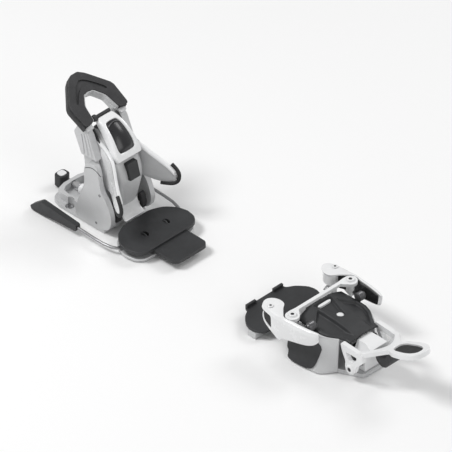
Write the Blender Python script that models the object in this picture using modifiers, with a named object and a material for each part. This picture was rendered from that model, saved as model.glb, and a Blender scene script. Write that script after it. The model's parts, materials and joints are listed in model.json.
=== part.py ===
"""Touring ski binding: a pin-and-jaw toe unit and a step-in heel unit with its brake.

Lengths below are in millimetres and are turned into metres by MM as each shape is made.
+X points to the ski's tip, +Y to the skier's left, +Z up from the ski's top surface.
"""
from math import atan2, cos, pi, radians, sin

import bmesh
import bpy
from mathutils import Matrix, Vector

MM = 0.001
GAP = 0.35                      # clearance that touching pieces keep
SIDES = {"left": 1, "right": -1}

# Toe unit
BASE_TOP = 5.0                  # top of the toe base plate
PLATE_Z = (7.8, 10.3)           # crampon plate, underside and top
JAW_PIVOT = (-18.0, 41.0)       # vertical jaw hinge, X and distance from the centre line
JAW_FLANGE_Z = (49.6, 53.0)     # jaw's top flange, and the cross bar beside it
LUG_RADIUS = 7.5                # cross bar's lug round each jaw hinge
BAR_X = (-20.6, -24.8)          # cross bar, front and rear
HOOK_Y = (12.5, 25.5)           # crampon hooks, inner and outer side
HOOK_X = (-99.6, -96.8)         # and their rear and front face
HOOK_TOP = 14.0
ARM_X = (-76.0, -65.0)          # base's cross arm, rear and front
TOE_SCREW = (-50.0, 12.0)       # rear mounting screws of the toe base
TOE_SCREW_FRONT = 36.5          # X of its front screw
TOE_SCREW_RADIUS = 4.8
REAR_SCREW = (-44.0, 45.6)      # screw in each jaw's rear lobe
TOE_PIN = (-44.0, 33.0)         # toe pins, X and height
TOE_PIN_TIP = 30.0              # pin tip from the centre line
SHELL_WALL = 3.0
LEVER_PIVOT = (48.6, 13.7)      # toe lever hinge, X and height
LEVER_SLOPE = radians(20.1)     # the lever's loop rises forward
LEVER_FORK = (60.0, 36.5)       # where the sloping part starts

# Heel unit
HEEL_PIVOT = (-318.0, 28.0)     # axle shared by the heel housing and its lever
CHEEK_TOP = 52.0                # radius of the cheeks' round top edge
CHEEK_Y = (25.4, 30.0)
HOUSING_HALF = 16.6
TRACK_TOP = 4.0
TRACK_WALL_TOP = 12.5
LENGTH_SCREW_Z = 8.5
FRAME_TOP = (-324.0, 119.0)     # slanting white frame, upper edge
FRAME_BOTTOM = (-288.0, 86.0)   # and its lower edge
RELEASE_SCREW = (-328.5, 105.3) # release-setting screw, on the housing's top
GRIP_START = (-325.0, 114.0)    # heel lever's sloping loop starts here
GRIP_SLOPE = radians(27.6)      # and rises backwards
RING_HALF = 2.5                 # half thickness of the lever's ring
GRIP_THICK = 6.8                # grip lying on that ring
LEG_START = 54.5                # the lever's wide upper legs start this far from the axle
BRAKE_AXLE = (-262.0, 7.2)
ARM_SIDE = 50.0                 # brake arm's distance from the centre line
PADDLE_Z = 9.25                 # its height inside the paddle
WIRE_RADIUS = 1.7
PAD_HINGE = (-279.5, 10.0)

# Material name: colour, roughness, metallic
FINISHES = {
    "white_paint": ((0.86, 0.86, 0.86), 0.32, 0.0),
    "grey_alloy": ((0.62, 0.63, 0.64), 0.38, 0.7),
    "black_plastic": ((0.035, 0.035, 0.037), 0.55, 0.0),
    "black_gloss": ((0.012, 0.012, 0.013), 0.12, 0.0),
    "black_rubber": ((0.02, 0.02, 0.02), 0.8, 0.0),
    "steel": ((0.55, 0.55, 0.56), 0.28, 1.0),
    "chrome": ((0.8, 0.8, 0.81), 0.08, 1.0),
}


# ---------------------------------------------------------------- scene set-up

def clear_scene():
    for obj in list(bpy.data.objects):
        bpy.data.objects.remove(obj, do_unlink=True)


def new_collection(name):
    collection = bpy.data.collections.new(name)
    bpy.context.scene.collection.children.link(collection)
    return collection


clear_scene()
PARTS = new_collection("touring_binding")
HELPERS = new_collection("cutters")


def finish_material(piece_name, finish):
    colour, roughness, metallic = FINISHES[finish]
    material = bpy.data.materials.new(piece_name + "_" + finish)
    material.use_nodes = True
    shader = material.node_tree.nodes["Principled BSDF"]
    shader.inputs["Base Color"].default_value = (*colour, 1.0)
    shader.inputs["Roughness"].default_value = roughness
    shader.inputs["Metallic"].default_value = metallic
    material.diffuse_color = (*colour, 1.0)
    return material


def add_piece(name, mesh, finish):
    """A sub-part of the binding, or with no finish a helper shape for a Boolean."""
    piece = bpy.data.objects.new(name, mesh)
    if finish is None:
        HELPERS.objects.link(piece)
        piece.hide_render = True
        piece.display_type = "WIRE"
    else:
        PARTS.objects.link(piece)
        mesh.materials.append(finish_material(name, finish))
        mesh.shade_smooth()
        mesh.set_sharp_from_angle(angle=radians(35))
    return piece


# ---------------------------------------------------------------- shape tools

def mirrored(half):
    """Full outline from the points of its +Y half, front to back."""
    return half + [(x, -y) for x, y in reversed(half) if y != 0]


def arc(centre, radius, start, end, steps):
    """Points on an arc, angles in degrees."""
    angles = [radians(start + (end - start) * i / steps) for i in range(steps + 1)]
    return [(centre[0] + radius * cos(a), centre[1] + radius * sin(a)) for a in angles]


def rounded(outline, radius, steps=2):
    """Round the corners of a closed outline, each as far as its edges allow."""
    result = []
    count = len(outline)
    for i, corner in enumerate(outline):
        here = Vector(corner)
        back = Vector(outline[i - 1]) - here
        ahead = Vector(outline[(i + 1) % count]) - here
        reach = min(radius, back.length * 0.45, ahead.length * 0.45)
        start = here + back.normalized() * reach
        end = here + ahead.normalized() * reach
        for k in range(steps + 1):
            t = k / steps
            point = start * (1 - t) ** 2 + here * 2 * t * (1 - t) + end * t ** 2
            result.append((point.x, point.y))
    return result


def frame_matrix(origin, across, up):
    """Matrix whose local X and Y run along two directions, from a point in millimetres."""
    x_axis = Vector(across).normalized()
    y_axis = Vector(up).normalized()
    z_axis = x_axis.cross(y_axis)
    rotation = Matrix((x_axis, y_axis, z_axis)).transposed().to_4x4()
    return Matrix.Translation(Vector(origin) * MM) @ rotation


def plane_matrix(plane, middle):
    """Matrix of an outline drawn in the XY, XZ or YZ plane, at a height across it."""
    axes = {"XY": ((1, 0, 0), (0, 1, 0), (0, 0, middle)),
            "XZ": ((1, 0, 0), (0, 0, 1), (0, middle, 0)),
            "YZ": ((0, 1, 0), (0, 0, 1), (middle, 0, 0))}
    across, up, origin = axes[plane]
    return frame_matrix(origin, across, up)


def slab(name, outlines, thickness, matrix, finish, bevel=0.0):
    """A flat outline, with any holes as further outlines, given a thickness."""
    curve = bpy.data.curves.new(name, "CURVE")
    curve.dimensions = "2D"
    curve.fill_mode = "BOTH"
    curve.extrude = thickness * MM / 2
    for outline in outlines:
        spline = curve.splines.new("POLY")
        spline.points.add(len(outline) - 1)
        for point, (a, b) in zip(spline.points, outline):
            point.co = (a * MM, b * MM, 0, 1)
        spline.use_cyclic_u = True
    return curve_to_piece(name, curve, matrix, finish, bevel)


def curve_to_piece(name, curve, matrix, finish, bevel=0.0):
    """Turn a curve into a welded mesh piece placed by its matrix."""
    holder = bpy.data.objects.new(name + "_curve", curve)
    HELPERS.objects.link(holder)
    holder.matrix_world = matrix
    bpy.context.view_layer.update()
    depsgraph = bpy.context.evaluated_depsgraph_get()
    mesh = bpy.data.meshes.new_from_object(holder.evaluated_get(depsgraph))
    mesh.transform(matrix)
    work = bmesh.new()
    work.from_mesh(mesh)
    bmesh.ops.remove_doubles(work, verts=work.verts, dist=0.00001)
    bmesh.ops.recalc_face_normals(work, faces=work.faces)
    work.to_mesh(mesh)
    work.free()
    bpy.data.objects.remove(holder, do_unlink=True)
    mesh.materials.clear()
    piece = add_piece(name, mesh, finish)
    if bevel:
        soften(piece, bevel)
    return piece


def plate(name, plane, outline, low, high, finish, holes=(), corner=0.0, bevel=0.0):
    """A slab in a main plane, from one height across it to another."""
    outlines = [rounded(outline, corner) if corner else outline]
    outlines += list(holes)
    matrix = plane_matrix(plane, (low + high) / 2)
    return slab(name, outlines, abs(high - low), matrix, finish, bevel)


def box(name, low, high, finish, bevel=0.0):
    """A block between two corners."""
    work = bmesh.new()
    bmesh.ops.create_cube(work, size=1.0)
    size = [(b - a) * MM for a, b in zip(low, high)]
    centre = [(a + b) / 2 * MM for a, b in zip(low, high)]
    placing = Matrix.Translation(centre) @ Matrix.Diagonal((*size, 1.0))
    bmesh.ops.transform(work, matrix=placing, verts=work.verts)
    mesh = bpy.data.meshes.new(name)
    work.to_mesh(mesh)
    work.free()
    piece = add_piece(name, mesh, finish)
    if bevel:
        soften(piece, bevel)
    return piece


def rod(name, start, end, radius, finish, tip_radius=None, sides=20, bevel=0.0):
    """A round bar, or a cone where tip_radius differs, between two points."""
    first = Vector(start) * MM
    last = Vector(end) * MM
    run = last - first
    work = bmesh.new()
    far = radius if tip_radius is None else tip_radius
    bmesh.ops.create_cone(work, cap_ends=True, segments=sides, radius1=radius * MM,
                          radius2=far * MM, depth=run.length)
    turn = run.to_track_quat("Z", "Y").to_matrix().to_4x4()
    placing = Matrix.Translation((first + last) / 2) @ turn
    bmesh.ops.transform(work, matrix=placing, verts=work.verts)
    mesh = bpy.data.meshes.new(name)
    work.to_mesh(mesh)
    work.free()
    piece = add_piece(name, mesh, finish)
    if bevel:
        soften(piece, bevel)
    return piece


def loft(name, sections, finish):
    """A closed solid through sections that all have the same number of points."""
    work = bmesh.new()
    rings = [[work.verts.new(Vector(p) * MM) for p in section] for section in sections]
    count = len(rings[0])
    for ring, following in zip(rings, rings[1:]):
        for i in range(count):
            j = (i + 1) % count
            work.faces.new((ring[i], ring[j], following[j], following[i]))
    work.faces.new(rings[0])
    work.faces.new(rings[-1])
    bmesh.ops.recalc_face_normals(work, faces=work.faces)
    mesh = bpy.data.meshes.new(name)
    work.to_mesh(mesh)
    work.free()
    return add_piece(name, mesh, finish)


def wire(name, points, radius, finish):
    """A bent round wire with closed ends."""
    curve = bpy.data.curves.new(name, "CURVE")
    curve.dimensions = "3D"
    curve.bevel_depth = radius * MM
    curve.bevel_resolution = 2
    curve.use_fill_caps = True
    spline = curve.splines.new("POLY")
    spline.points.add(len(points) - 1)
    for point, co in zip(spline.points, points):
        point.co = (*(Vector(co) * MM), 1)
    return curve_to_piece(name, curve, Matrix.Identity(4), finish)


def soften(piece, width, segments=1):
    bevel = piece.modifiers.new("edges", "BEVEL")
    bevel.width = width * MM
    bevel.segments = segments
    bevel.limit_method = "ANGLE"
    bevel.angle_limit = radians(50)


def combine(piece, operation, others):
    for other in others:
        boolean = piece.modifiers.new(operation.lower(), "BOOLEAN")
        boolean.operation = operation
        boolean.solver = "EXACT"
        boolean.object = other
    return piece


def join(piece, *others):
    return combine(piece, "UNION", others)


def cut(piece, *others):
    return combine(piece, "DIFFERENCE", others)


def pivot(name, at):
    """An empty on a joint's axis, for the pieces that move with it."""
    empty = bpy.data.objects.new(name, None)
    PARTS.objects.link(empty)
    empty.location = Vector(at) * MM
    empty.empty_display_size = 0.01
    return empty


def carry(empty, *pieces):
    bpy.context.view_layer.update()
    for piece in pieces:
        piece.parent = empty
        piece.matrix_parent_inverse = empty.matrix_world.inverted()


def socket_screw(name, at, direction, radius, height, finish="steel"):
    """A screw head with a hexagonal socket, standing along a direction."""
    start = Vector(at)
    run = Vector(direction).normalized()
    head = rod(name, start, start + run * height, radius, finish, sides=16)
    depth = min(1.6, height * 0.6)
    socket = rod(name + "_socket", start + run * (height - depth),
                 start + run * (height + 1), radius * 0.5, None, sides=6)
    return cut(head, socket)


# ---------------------------------------------------------------- toe base

def toe_base():
    outline = [(57, 8), (57, 15), (31, 27), (-20, 27), (-50, 18), (-80, 14)]
    base = plate("toe_base_plate", "XY", mirrored(outline), 0, BASE_TOP, "grey_alloy",
                 corner=4, bevel=0.6)
    arm = box("cross_arm", (ARM_X[0], -46, 0.01), (ARM_X[1], 46, PLATE_Z[0] - GAP), None)
    return join(base, arm)


def crampon_plate():
    outline = [(-24, 17), (-56, 26), (-58, 42), (-69, 46.4), (-79, 45), (-90, 36), (-95, 27),
               (-100, 26), (-100, 12)]
    tops = plate("crampon_plate", "XY", mirrored(outline), *PLATE_Z, "black_plastic",
                 corner=4, bevel=0.4)
    for side, sign in SIDES.items():
        low, high = sorted(y * sign for y in HOOK_Y)
        hook = box("hook_" + side, (HOOK_X[0], low, 9), (HOOK_X[1], high, HOOK_TOP), None)
        x, y = TOE_SCREW[0], TOE_SCREW[1] * sign
        hole = rod("screw_way_" + side, (x, y, 6), (x, y, 12), TOE_SCREW_RADIUS + 0.5, None)
        join(tops, hook)
        cut(tops, hole)
    return tops


def toe_screws():
    seat = BASE_TOP + GAP
    for side, sign in SIDES.items():
        socket_screw("toe_screw_rear_" + side, (TOE_SCREW[0], TOE_SCREW[1] * sign, seat),
                     (0, 0, 1), TOE_SCREW_RADIUS, 4.4)
    socket_screw("toe_screw_front", (TOE_SCREW_FRONT, 0, seat), (0, 0, 1), TOE_SCREW_RADIUS,
                 3.4)


# ---------------------------------------------------------------- toe housing

def shell_section(x, levels, inset=0.0, drop=0.0):
    """Cross-section of the flared shell: half-width and height, bottom to top."""
    right = [(x, half - inset, z - drop) for half, z in levels]
    left = [(x, -half, z) for x, half, z in reversed(right)]
    return right + left


def toe_shell():
    stations = [
        (-20.5, ((43, 3), (40, 14), (36, 27), (31, 40))),
        (0, ((45, 0.8), (42, 12), (36.5, 26), (31, 40))),
        (20, ((44, 0.8), (41, 12), (35.5, 26), (30.5, 40))),
        (25, ((38, 5.6), (36, 14), (33, 27), (28.5, 39))),
        (31, ((26, 5.6), (25.5, 14), (25, 27), (22.5, 37)))]
    outer = [shell_section(x, levels) for x, levels in stations]
    shell = loft("toe_shell", outer, "grey_alloy")
    inner = [shell_section(-22, stations[0][1], SHELL_WALL, SHELL_WALL)]
    inner += [shell_section(x, levels, SHELL_WALL, SHELL_WALL) for x, levels in stations[1:4]]
    inner.append(shell_section(28, stations[4][1], SHELL_WALL, SHELL_WALL))
    hollow = loft("shell_hollow", inner, None)
    below = box("shell_below", (-22, -40, -6), (28, 40, 3), None)
    under_front = box("shell_under_front", (22, -22.5, 3), (28, 22.5, 8), None)
    return cut(shell, hollow, below, under_front)


def side_panel(side, sign):
    """Black panel lying on the shell's flared side."""
    lean = atan2(5.5, 14)
    origin = (1, (43.3 + GAP) * sign, 13.5)
    up = (0, -sin(lean) * sign, cos(lean))
    outline = [(-18, -9), (-14, -10.5), (16, -11), (19, -6), (17, 8), (-17, 10), (-19, 2)]
    return slab("toe_side_panel_" + side, [rounded(outline, 3)], 1.2,
                frame_matrix(origin, (1, 0, 0), up), "black_plastic")


def cover_section(x, low, middle, top, under):
    half = [(low[0], under), low, middle, top]
    right = [(x, y, z) for y, z in half]
    return right + [(x, -y, z) for x, y, z in reversed(right)]


def toe_cover():
    sections = [
        cover_section(-20, (29.5, 41.5), (26.5, 46), (13, 48.3), 40.4),
        cover_section(0, (29.5, 41.5), (24, 46), (12, 49.6), 40.4),
        cover_section(16, (29, 41.5), (20, 45), (10, 46.8), 40.4),
        cover_section(26, (25, 40.9), (15, 42.5), (9.5, 44), 39.9),
        cover_section(41, (17, 38.9), (13, 39.2), (8.5, 39.6), 38.4)]
    return loft("toe_top_cover", sections, "black_plastic")


def toe_hub():
    sections = []
    for x, low_half, bottom, top in ((41.8, 15, 24, 38), (53, 15, 24, 38.4), (65, 13, 33, 38)):
        right = [(x, low_half, bottom), (x, low_half, bottom + 3), (x, 9.2, top)]
        sections.append(right + [(x, -y, z) for x, y, z in reversed(right)])
    hub = loft("toe_hub", sections, "white_paint")
    neck = box("hub_neck", (42, -11.5, BASE_TOP + GAP), (54.5, 11.5, 26), None)
    way = rod("axle_way", (LEVER_PIVOT[0], -20, LEVER_PIVOT[1]),
              (LEVER_PIVOT[0], 20, LEVER_PIVOT[1]), 3.4, None)
    return cut(join(hub, neck), way)


def toe_cross_bar():
    """Bar between the jaws with a lug round each jaw hinge, on two posts."""
    low, high = JAW_FLANGE_Z
    front, rear = BAR_X
    half = [(front, 29.5), (-16.5, 32.6)] + arc(JAW_PIVOT, LUG_RADIUS, -70, 165, 12)
    half += [(-25.6, 38), (rear, 30)]
    holes = [arc((JAW_PIVOT[0], JAW_PIVOT[1] * sign), 2.8, 0, 330, 11)
             for sign in SIDES.values()]
    bar = plate("toe_cross_bar", "XY", mirrored(half), low - 0.4, high, "white_paint",
                holes=holes, bevel=0.4)
    for side, sign in SIDES.items():
        inner, outer = sorted((19.0 * sign, 25.0 * sign))
        join(bar, box("post_" + side, (rear + 0.2, inner, BASE_TOP + GAP),
                      (front - 0.4, outer, low + 1), None))
    return bar


def toe_plunger(side, sign):
    y = [31.2 * sign, 40.5 * sign]
    return rod("toe_plunger_" + side, (2, y[0], 46.9), (2, y[1], 46.9), 4.8, "steel",
               tip_radius=3.6, sides=18, bevel=0.5)


def toe_spring():
    turns, radius, half_length, per_turn = 6, 7.0, 22.0, 10
    points = []
    for i in range(turns * per_turn + 1):
        angle = 2 * pi * i / per_turn
        y = -half_length + 2 * half_length * i / (turns * per_turn)
        points.append((2 + radius * cos(angle), y, 24 + radius * sin(angle)))
    return wire("toe_spring", points, 1.1, "steel")


def toe_release_screw():
    """Barrel across the toe that sets the release force, slotted at both ends."""
    x, z = 36.8, 24.0
    barrel = rod("toe_release_screw", (x, -21.3, z), (x, 21.3, z), 4.2, "black_plastic",
                 bevel=0.5)
    for side, sign in SIDES.items():
        inner, outer = sorted((19.8 * sign, 23 * sign))
        cut(barrel, box("slot_" + side, (x - 0.7, inner, z - 6), (x + 0.7, outer, z + 6), None))
    return barrel


# ---------------------------------------------------------------- jaws

def jaw_flange(sign):
    """The jaw's top outline, cut round the cross bar's lug."""
    lug_cut = arc(JAW_PIVOT, LUG_RADIUS + 1.0, 40, 165, 8)
    half = [(-56, 45.5), (-52.5, 51), (-36, 52.8), (-15, 52.6), (4, 51.4), (18, 48.8),
            (23.5, 45.5), (21, 43.5), (8, 46.4), (-6, 47.8)]
    half += lug_cut
    half += [(-34, 39.5), (-35.5, 33), (-40, 31), (-48, 33), (-55, 39.5)]
    return [(x, y * sign) for x, y in half]


def jaw_wall(side, sign):
    """Outer wall under the flange: X, outer face and lower edge along the jaw."""
    stations = ((-55, 45.8, 37), (-51, 50.4, 31), (-36, 52.2, 27), (-27, 52.1, 21.5),
                (-24, 52.1, 22), (-22, 52, 26), (0, 51.1, 31), (12, 49.5, 34.5), (20, 47.5, 36),
                (22.9, 45.3, 38.5))
    top = JAW_FLANGE_Z[1] - 0.6
    sections = []
    for x, outer, bottom in stations:
        corners = ((outer, bottom + 1), (outer, top), (outer - 3, top), (outer - 3, bottom))
        sections.append([(x, y * sign, z) for y, z in corners])
    return loft("jaw_wall_" + side, sections, None)


def jaw(side, sign):
    low, high = JAW_FLANGE_Z
    x, y = JAW_PIVOT[0], JAW_PIVOT[1] * sign
    body = plate("toe_jaw_" + side, "XY", jaw_flange(sign), low, high, "white_paint")
    inner, outer = sorted((43.5 * sign, 50.5 * sign))
    boss = rod("jaw_boss_" + side, (x, y, 39), (x, y, 48.7), 6.8, None, sides=24)
    rib = box("jaw_rib_" + side, (-22.3, inner, 39.5), (-13.6, outer, 48.5), None)
    pin_boss = rod("pin_boss_" + side, (TOE_PIN[0], 38 * sign, TOE_PIN[1]),
                   (TOE_PIN[0], 50 * sign, TOE_PIN[1]), 4.4, None)
    join(body, jaw_wall(side, sign), boss, rib, pin_boss)
    window = box("jaw_window_" + side, (-48.5, min(40 * sign, 56 * sign), 38),
                 (-37, max(40 * sign, 56 * sign), 47.5), None)
    pivot_way = rod("jaw_pivot_way_" + side, (x, y, 30), (x, y, 49), 2.8, None)
    pin_way = rod("jaw_pin_way_" + side, (TOE_PIN[0], 30 * sign, TOE_PIN[1]),
                  (TOE_PIN[0], 46.5 * sign, TOE_PIN[1]), 2.85, None)
    return cut(body, window, pivot_way, pin_way)


def jaw_pieces(side, sign):
    x, y = JAW_PIVOT[0], JAW_PIVOT[1] * sign
    liner = box("toe_jaw_liner_" + side, (-48, min(43.2 * sign, 46.4 * sign), 37.7),
                (-36, max(43.2 * sign, 46.4 * sign), 49.2), "black_plastic")
    pin = rod("toe_pin_" + side, (TOE_PIN[0], 46 * sign, TOE_PIN[1]),
              (TOE_PIN[0], 34 * sign, TOE_PIN[1]), 2.5, "chrome")
    join(pin, rod("pin_tip_" + side, (TOE_PIN[0], 34.2 * sign, TOE_PIN[1]),
                  (TOE_PIN[0], TOE_PIN_TIP * sign, TOE_PIN[1]), 2.5, None, tip_radius=0.9))
    top = JAW_FLANGE_Z[1] + GAP
    pivot_screw = socket_screw("toe_jaw_pivot_screw_" + side, (x, y, top), (0, 0, 1), 4.2, 1.8)
    join(pivot_screw, rod("pivot_shank_" + side, (x, y, 41), (x, y, top + 0.2), 2.4, None))
    rear = (REAR_SCREW[0], REAR_SCREW[1] * sign, top)
    rear_screw = socket_screw("toe_jaw_rear_screw_" + side, rear, (0, 0, 1), 3.0, 1.2)
    return [jaw(side, sign), liner, pin, pivot_screw, rear_screw]


# ---------------------------------------------------------------- toe lever

def lever_web(side, sign):
    x, z = LEVER_PIVOT
    outline = [(35.2, 40), (58, 39), (66, 38), (66.5, 30), (57, 20), (55.6, z), (52.5, 8),
               (48.6, 6.6), (44.7, 8), (41.6, z), (42.5, 21), (37.5, 31)]
    window = rounded([(42, 32.5), (59, 32.5), (52.5, 22.5), (47, 22.5)], 2.5)
    return plate("lever_web_" + side, "XZ", rounded(outline, 2), 22 * sign, 27 * sign, None,
                 holes=[window])


def lever_matrix(offset=0.0):
    """Plane of the lever's fork and loop; offset lifts it along its normal."""
    along = Vector((cos(LEVER_SLOPE), 0, sin(LEVER_SLOPE)))
    normal = Vector((-sin(LEVER_SLOPE), 0, cos(LEVER_SLOPE)))
    origin = Vector((LEVER_FORK[0], 0, LEVER_FORK[1])) + normal * offset
    return frame_matrix(origin, along, (0, 1, 0))


LOOP_HOLE = [(30, 5), (35, 8.5), (50, 9.5), (59, 8.5), (65, 4)]


def toe_lever():
    outer = [(-4, 27), (6, 25.5), (20, 14.5), (27, 9.5), (34, 13.5), (50, 15.3), (62, 14),
             (69, 9), (71.5, 4)]
    inner = [(20, 0), (16, 9), (6, 20.2), (-4, 22)]
    points = mirrored(outer)
    points += [(t, -y) for t, y in reversed(inner)] + inner[1:]
    hole = rounded(mirrored(LOOP_HOLE), 3)
    lever = slab("toe_lever", [rounded(points, 3), hole], 5.0, lever_matrix(), "white_paint",
                 bevel=0.8)
    x, z = LEVER_PIVOT
    for side, sign in SIDES.items():
        join(lever, lever_web(side, sign))
        cut(lever, rod("lever_way_" + side, (x, 20 * sign, z), (x, 29 * sign, z), 3.4, None))
    return lever


def toe_lever_insert():
    inset = [(t + (0.6 if t < 40 else -0.6 if t > 60 else 0), y - 0.5) for t, y in LOOP_HOLE]
    return slab("toe_lever_insert", [rounded(mirrored(inset), 3)], 3.2, lever_matrix(-0.4),
                "black_rubber")


def toe_lever_tongue():
    outline = [(60, 16.5), (60, 13.8), (69, 10.8), (80, 19), (86, 31), (87.5, 40), (84.4, 39.6),
               (82.8, 32), (77.5, 22), (68.5, 14.2)]
    return plate("toe_lever_tongue", "XZ", outline, -11, 11, "black_plastic", corner=2)


def toe_lever_axle():
    x, z = LEVER_PIVOT
    axle = rod("toe_lever_axle", (x, -28, z), (x, 28, z), 3.0, "steel", bevel=0.4)
    for side, sign in SIDES.items():
        cut(axle, rod("axle_socket_" + side, (x, 26.5 * sign, z), (x, 30 * sign, z), 1.6, None,
                      sides=6))
    return axle


def build_toe():
    toe_base()
    crampon_plate()
    toe_screws()
    toe_shell()
    toe_cover()
    toe_hub()
    toe_cross_bar()
    toe_spring()
    carry(pivot("toe_release_axis", (36.8, 0, 24)), toe_release_screw())
    for side, sign in SIDES.items():
        side_panel(side, sign)
        toe_plunger(side, sign)
        hinge = pivot("toe_jaw_axis_" + side, (JAW_PIVOT[0], JAW_PIVOT[1] * sign, 0))
        carry(hinge, *jaw_pieces(side, sign))
    carry(pivot("toe_lever_axis", (LEVER_PIVOT[0], 0, LEVER_PIVOT[1])), toe_lever(),
          toe_lever_insert(), toe_lever_tongue(), toe_lever_axle())


# ---------------------------------------------------------------- heel track

TRACK_SCREWS = [(-350.0, 25.2), (-334.0, 25.2)]


def heel_track():
    floor = [(-296, 30), (-361, 30), (-371, 27), (-375, 21), (-376.3, 10)]
    track = plate("heel_track", "XY", mirrored(floor), 0, TRACK_TOP, "grey_alloy", corner=3,
                  bevel=0.5)
    outer = [(-296, 23), (-364, 23.6), (-371.5, 20.5), (-374.5, 10)]
    inner = [(-370.5, 0), (-369.5, 12), (-365.5, 18), (-358, 19.4), (-296, 18.7)]
    rim = mirrored(outer) + [(x, -y) for x, y in reversed(inner)] + inner[1:]
    walls = plate("track_walls", "XY", rim, 2, TRACK_WALL_TOP, None)
    rear_way = rod("screw_way_rear", (-380, 0, LENGTH_SCREW_Z), (-360, 0, LENGTH_SCREW_Z), 3.5,
                   None)
    join(track, walls)
    cut(track, rear_way)
    for side, sign in SIDES.items():
        for i, (x, y) in enumerate(TRACK_SCREWS):
            cut(track, rod("track_pocket_%s_%d" % (side, i), (x, y * sign, 1.6),
                           (x, y * sign, 16), 4.7, None))
    return track


def track_screws():
    for side, sign in SIDES.items():
        for where, (x, y) in zip(("rear", "middle"), TRACK_SCREWS):
            socket_screw("heel_screw_%s_%s" % (where, side), (x, y * sign, 1.9), (0, 0, 1), 4.2,
                         2.0)


def track_cap():
    """Black clip round the track's rear end."""
    cap = plate("heel_track_cap", "XZ", [(-386, 2), (-377, 2), (-377, 15), (-386, 15)], -9.5,
                9.5, "black_plastic", corner=2)
    return cut(cap, rod("cap_way", (-390, 0, LENGTH_SCREW_Z), (-370, 0, LENGTH_SCREW_Z), 3.6,
                        None))


def length_screw():
    z = LENGTH_SCREW_Z
    screw = rod("heel_length_screw", (-388.5, 0, z), (-297, 0, z), 3.0, "chrome", bevel=0.3)
    socket = rod("length_socket", (-390, 0, z), (-385.5, 0, z), 1.8, None, sides=6)
    collar = rod("length_collar", (-366.5, 0, z), (-361, 0, z), 4.3, None)
    join(screw, collar)
    return cut(screw, socket)


# ---------------------------------------------------------------- heel carriage

def heel_carriage():
    body = box("heel_carriage", (-328, -25, 13), (-290, 25, 21), "grey_alloy", bevel=0.5)
    keel = box("carriage_keel", (-327, -18.2, TRACK_TOP + GAP), (-292, 18.2, 14), None)
    way = rod("keel_way", (-340, 0, LENGTH_SCREW_Z), (-280, 0, LENGTH_SCREW_Z), 3.4, None)
    join(body, keel)
    return cut(body, way)


def heel_cheek(side, sign):
    front = [(-288, 4.5), (-277, 23), (-284, 40), (-297.6, 53), (-299.5, 73)]
    rear = [(-321, 76), (-323.5, 66), (-321.5, 50), (-331, 29), (-337, 8), (-331, 4.5)]
    outline = front + arc(HEEL_PIVOT, CHEEK_TOP, 73, 92, 4) + rear
    hole = arc(HEEL_PIVOT, 3.4, 0, 330, 11)
    return plate("heel_cheek_" + side, "XZ", outline, CHEEK_Y[0] * sign, CHEEK_Y[1] * sign,
                 "grey_alloy", holes=[hole], bevel=0.8)


def heel_axle():
    x, z = HEEL_PIVOT
    return rod("heel_axle", (x, -31, z), (x, 31, z), 3.0, "steel", bevel=0.4)


def heel_treadle():
    outline = [(-289.6, 13.3), (-282.5, 13.3), (-284.5, 19), (-283.5, 32), (-296, 32),
               (-296, 21.4), (-289.6, 21.4)]
    return plate("heel_treadle", "XZ", outline, -13, 13, "grey_alloy", bevel=0.6)


def heel_bumper(side, sign):
    low, high = sorted((13.5 * sign, 20.5 * sign))
    return box("heel_bumper_" + side, (-289.6, low, 13.3), (-283, high, 33), "black_rubber",
               bevel=1.5)


# ---------------------------------------------------------------- heel housing

def heel_housing():
    outline = [(-324, 25), (-306, 23), (-298, 33.5), (-285, 33.5), (-284.5, 60), (-293, 82),
               (-322, 108.3), (-331, 103), (-323, 60), (-328, 36)]
    hole = arc(HEEL_PIVOT, 3.4, 0, 330, 11)
    return plate("heel_housing", "XZ", rounded(outline, 2), -HOUSING_HALF, HOUSING_HALF,
                 "grey_alloy", holes=[hole], bevel=0.6)


def slant_matrix(depth):
    """Plane of the white frame: local X runs down its slope, depth is below its face."""
    along = Vector((FRAME_BOTTOM[0] - FRAME_TOP[0], 0, FRAME_BOTTOM[1] - FRAME_TOP[1]))
    along.normalize()
    normal = Vector((-along.z, 0, along.x))
    origin = Vector((FRAME_TOP[0], 0, FRAME_TOP[1])) - normal * depth
    return frame_matrix(origin, along, (0, 1, 0))


WINDOW = [(8, 6.6), (10.5, 8.8), (38, 11.4), (42, 9)]


def heel_frame():
    outline = mirrored([(0, 9.5), (2, 11.2), (18, 13.6), (45, 17.3), (48.8, 15.5)])
    window = rounded(mirrored(WINDOW), 2.5)
    return slab("heel_frame", [rounded(outline, 2), window], 6.0, slant_matrix(3.0),
                "white_paint", bevel=0.8)


def heel_window():
    inset = [(s + (0.5 if s < 20 else -0.5), y - 0.5) for s, y in WINDOW]
    return slab("heel_window", [rounded(mirrored(inset), 2)], 4.6, slant_matrix(3.4),
                "black_gloss", bevel=0.6)


def heel_tongue():
    outline = [(-284.3, 61), (-280.5, 62), (-285.5, 79.5), (-291.2, 79.5)]
    return plate("heel_tongue", "XZ", outline, -7, 7, "black_plastic", bevel=0.5)


def heel_wing(side, sign):
    """Half of the heel cup, flaring out and forward from the housing to its rim."""
    sections = []
    for x, y, low, high, thick in ((-312, 16.9, 64, 96.5, 2.3), (-303, 17.3, 46, 91.5, 3.0),
                                   (-292, 21.2, 48.5, 86.5, 3.2),
                                   (-285, 25.6, 45, 80, 3.1), (-277.5, 30.8, 43, 72.5, 2.9),
                                   (-270, 35.2, 44, 66, 2.6), (-265, 37.4, 46.5, 61.5, 2.3)):
        corners = ((x, y, low), (x, y, high), (x + 1, y + thick, high), (x + 1, y + thick, low))
        sections.append([(px, py * sign, pz) for px, py, pz in corners])
    return loft("heel_wing_" + side, sections, "white_paint")


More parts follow.
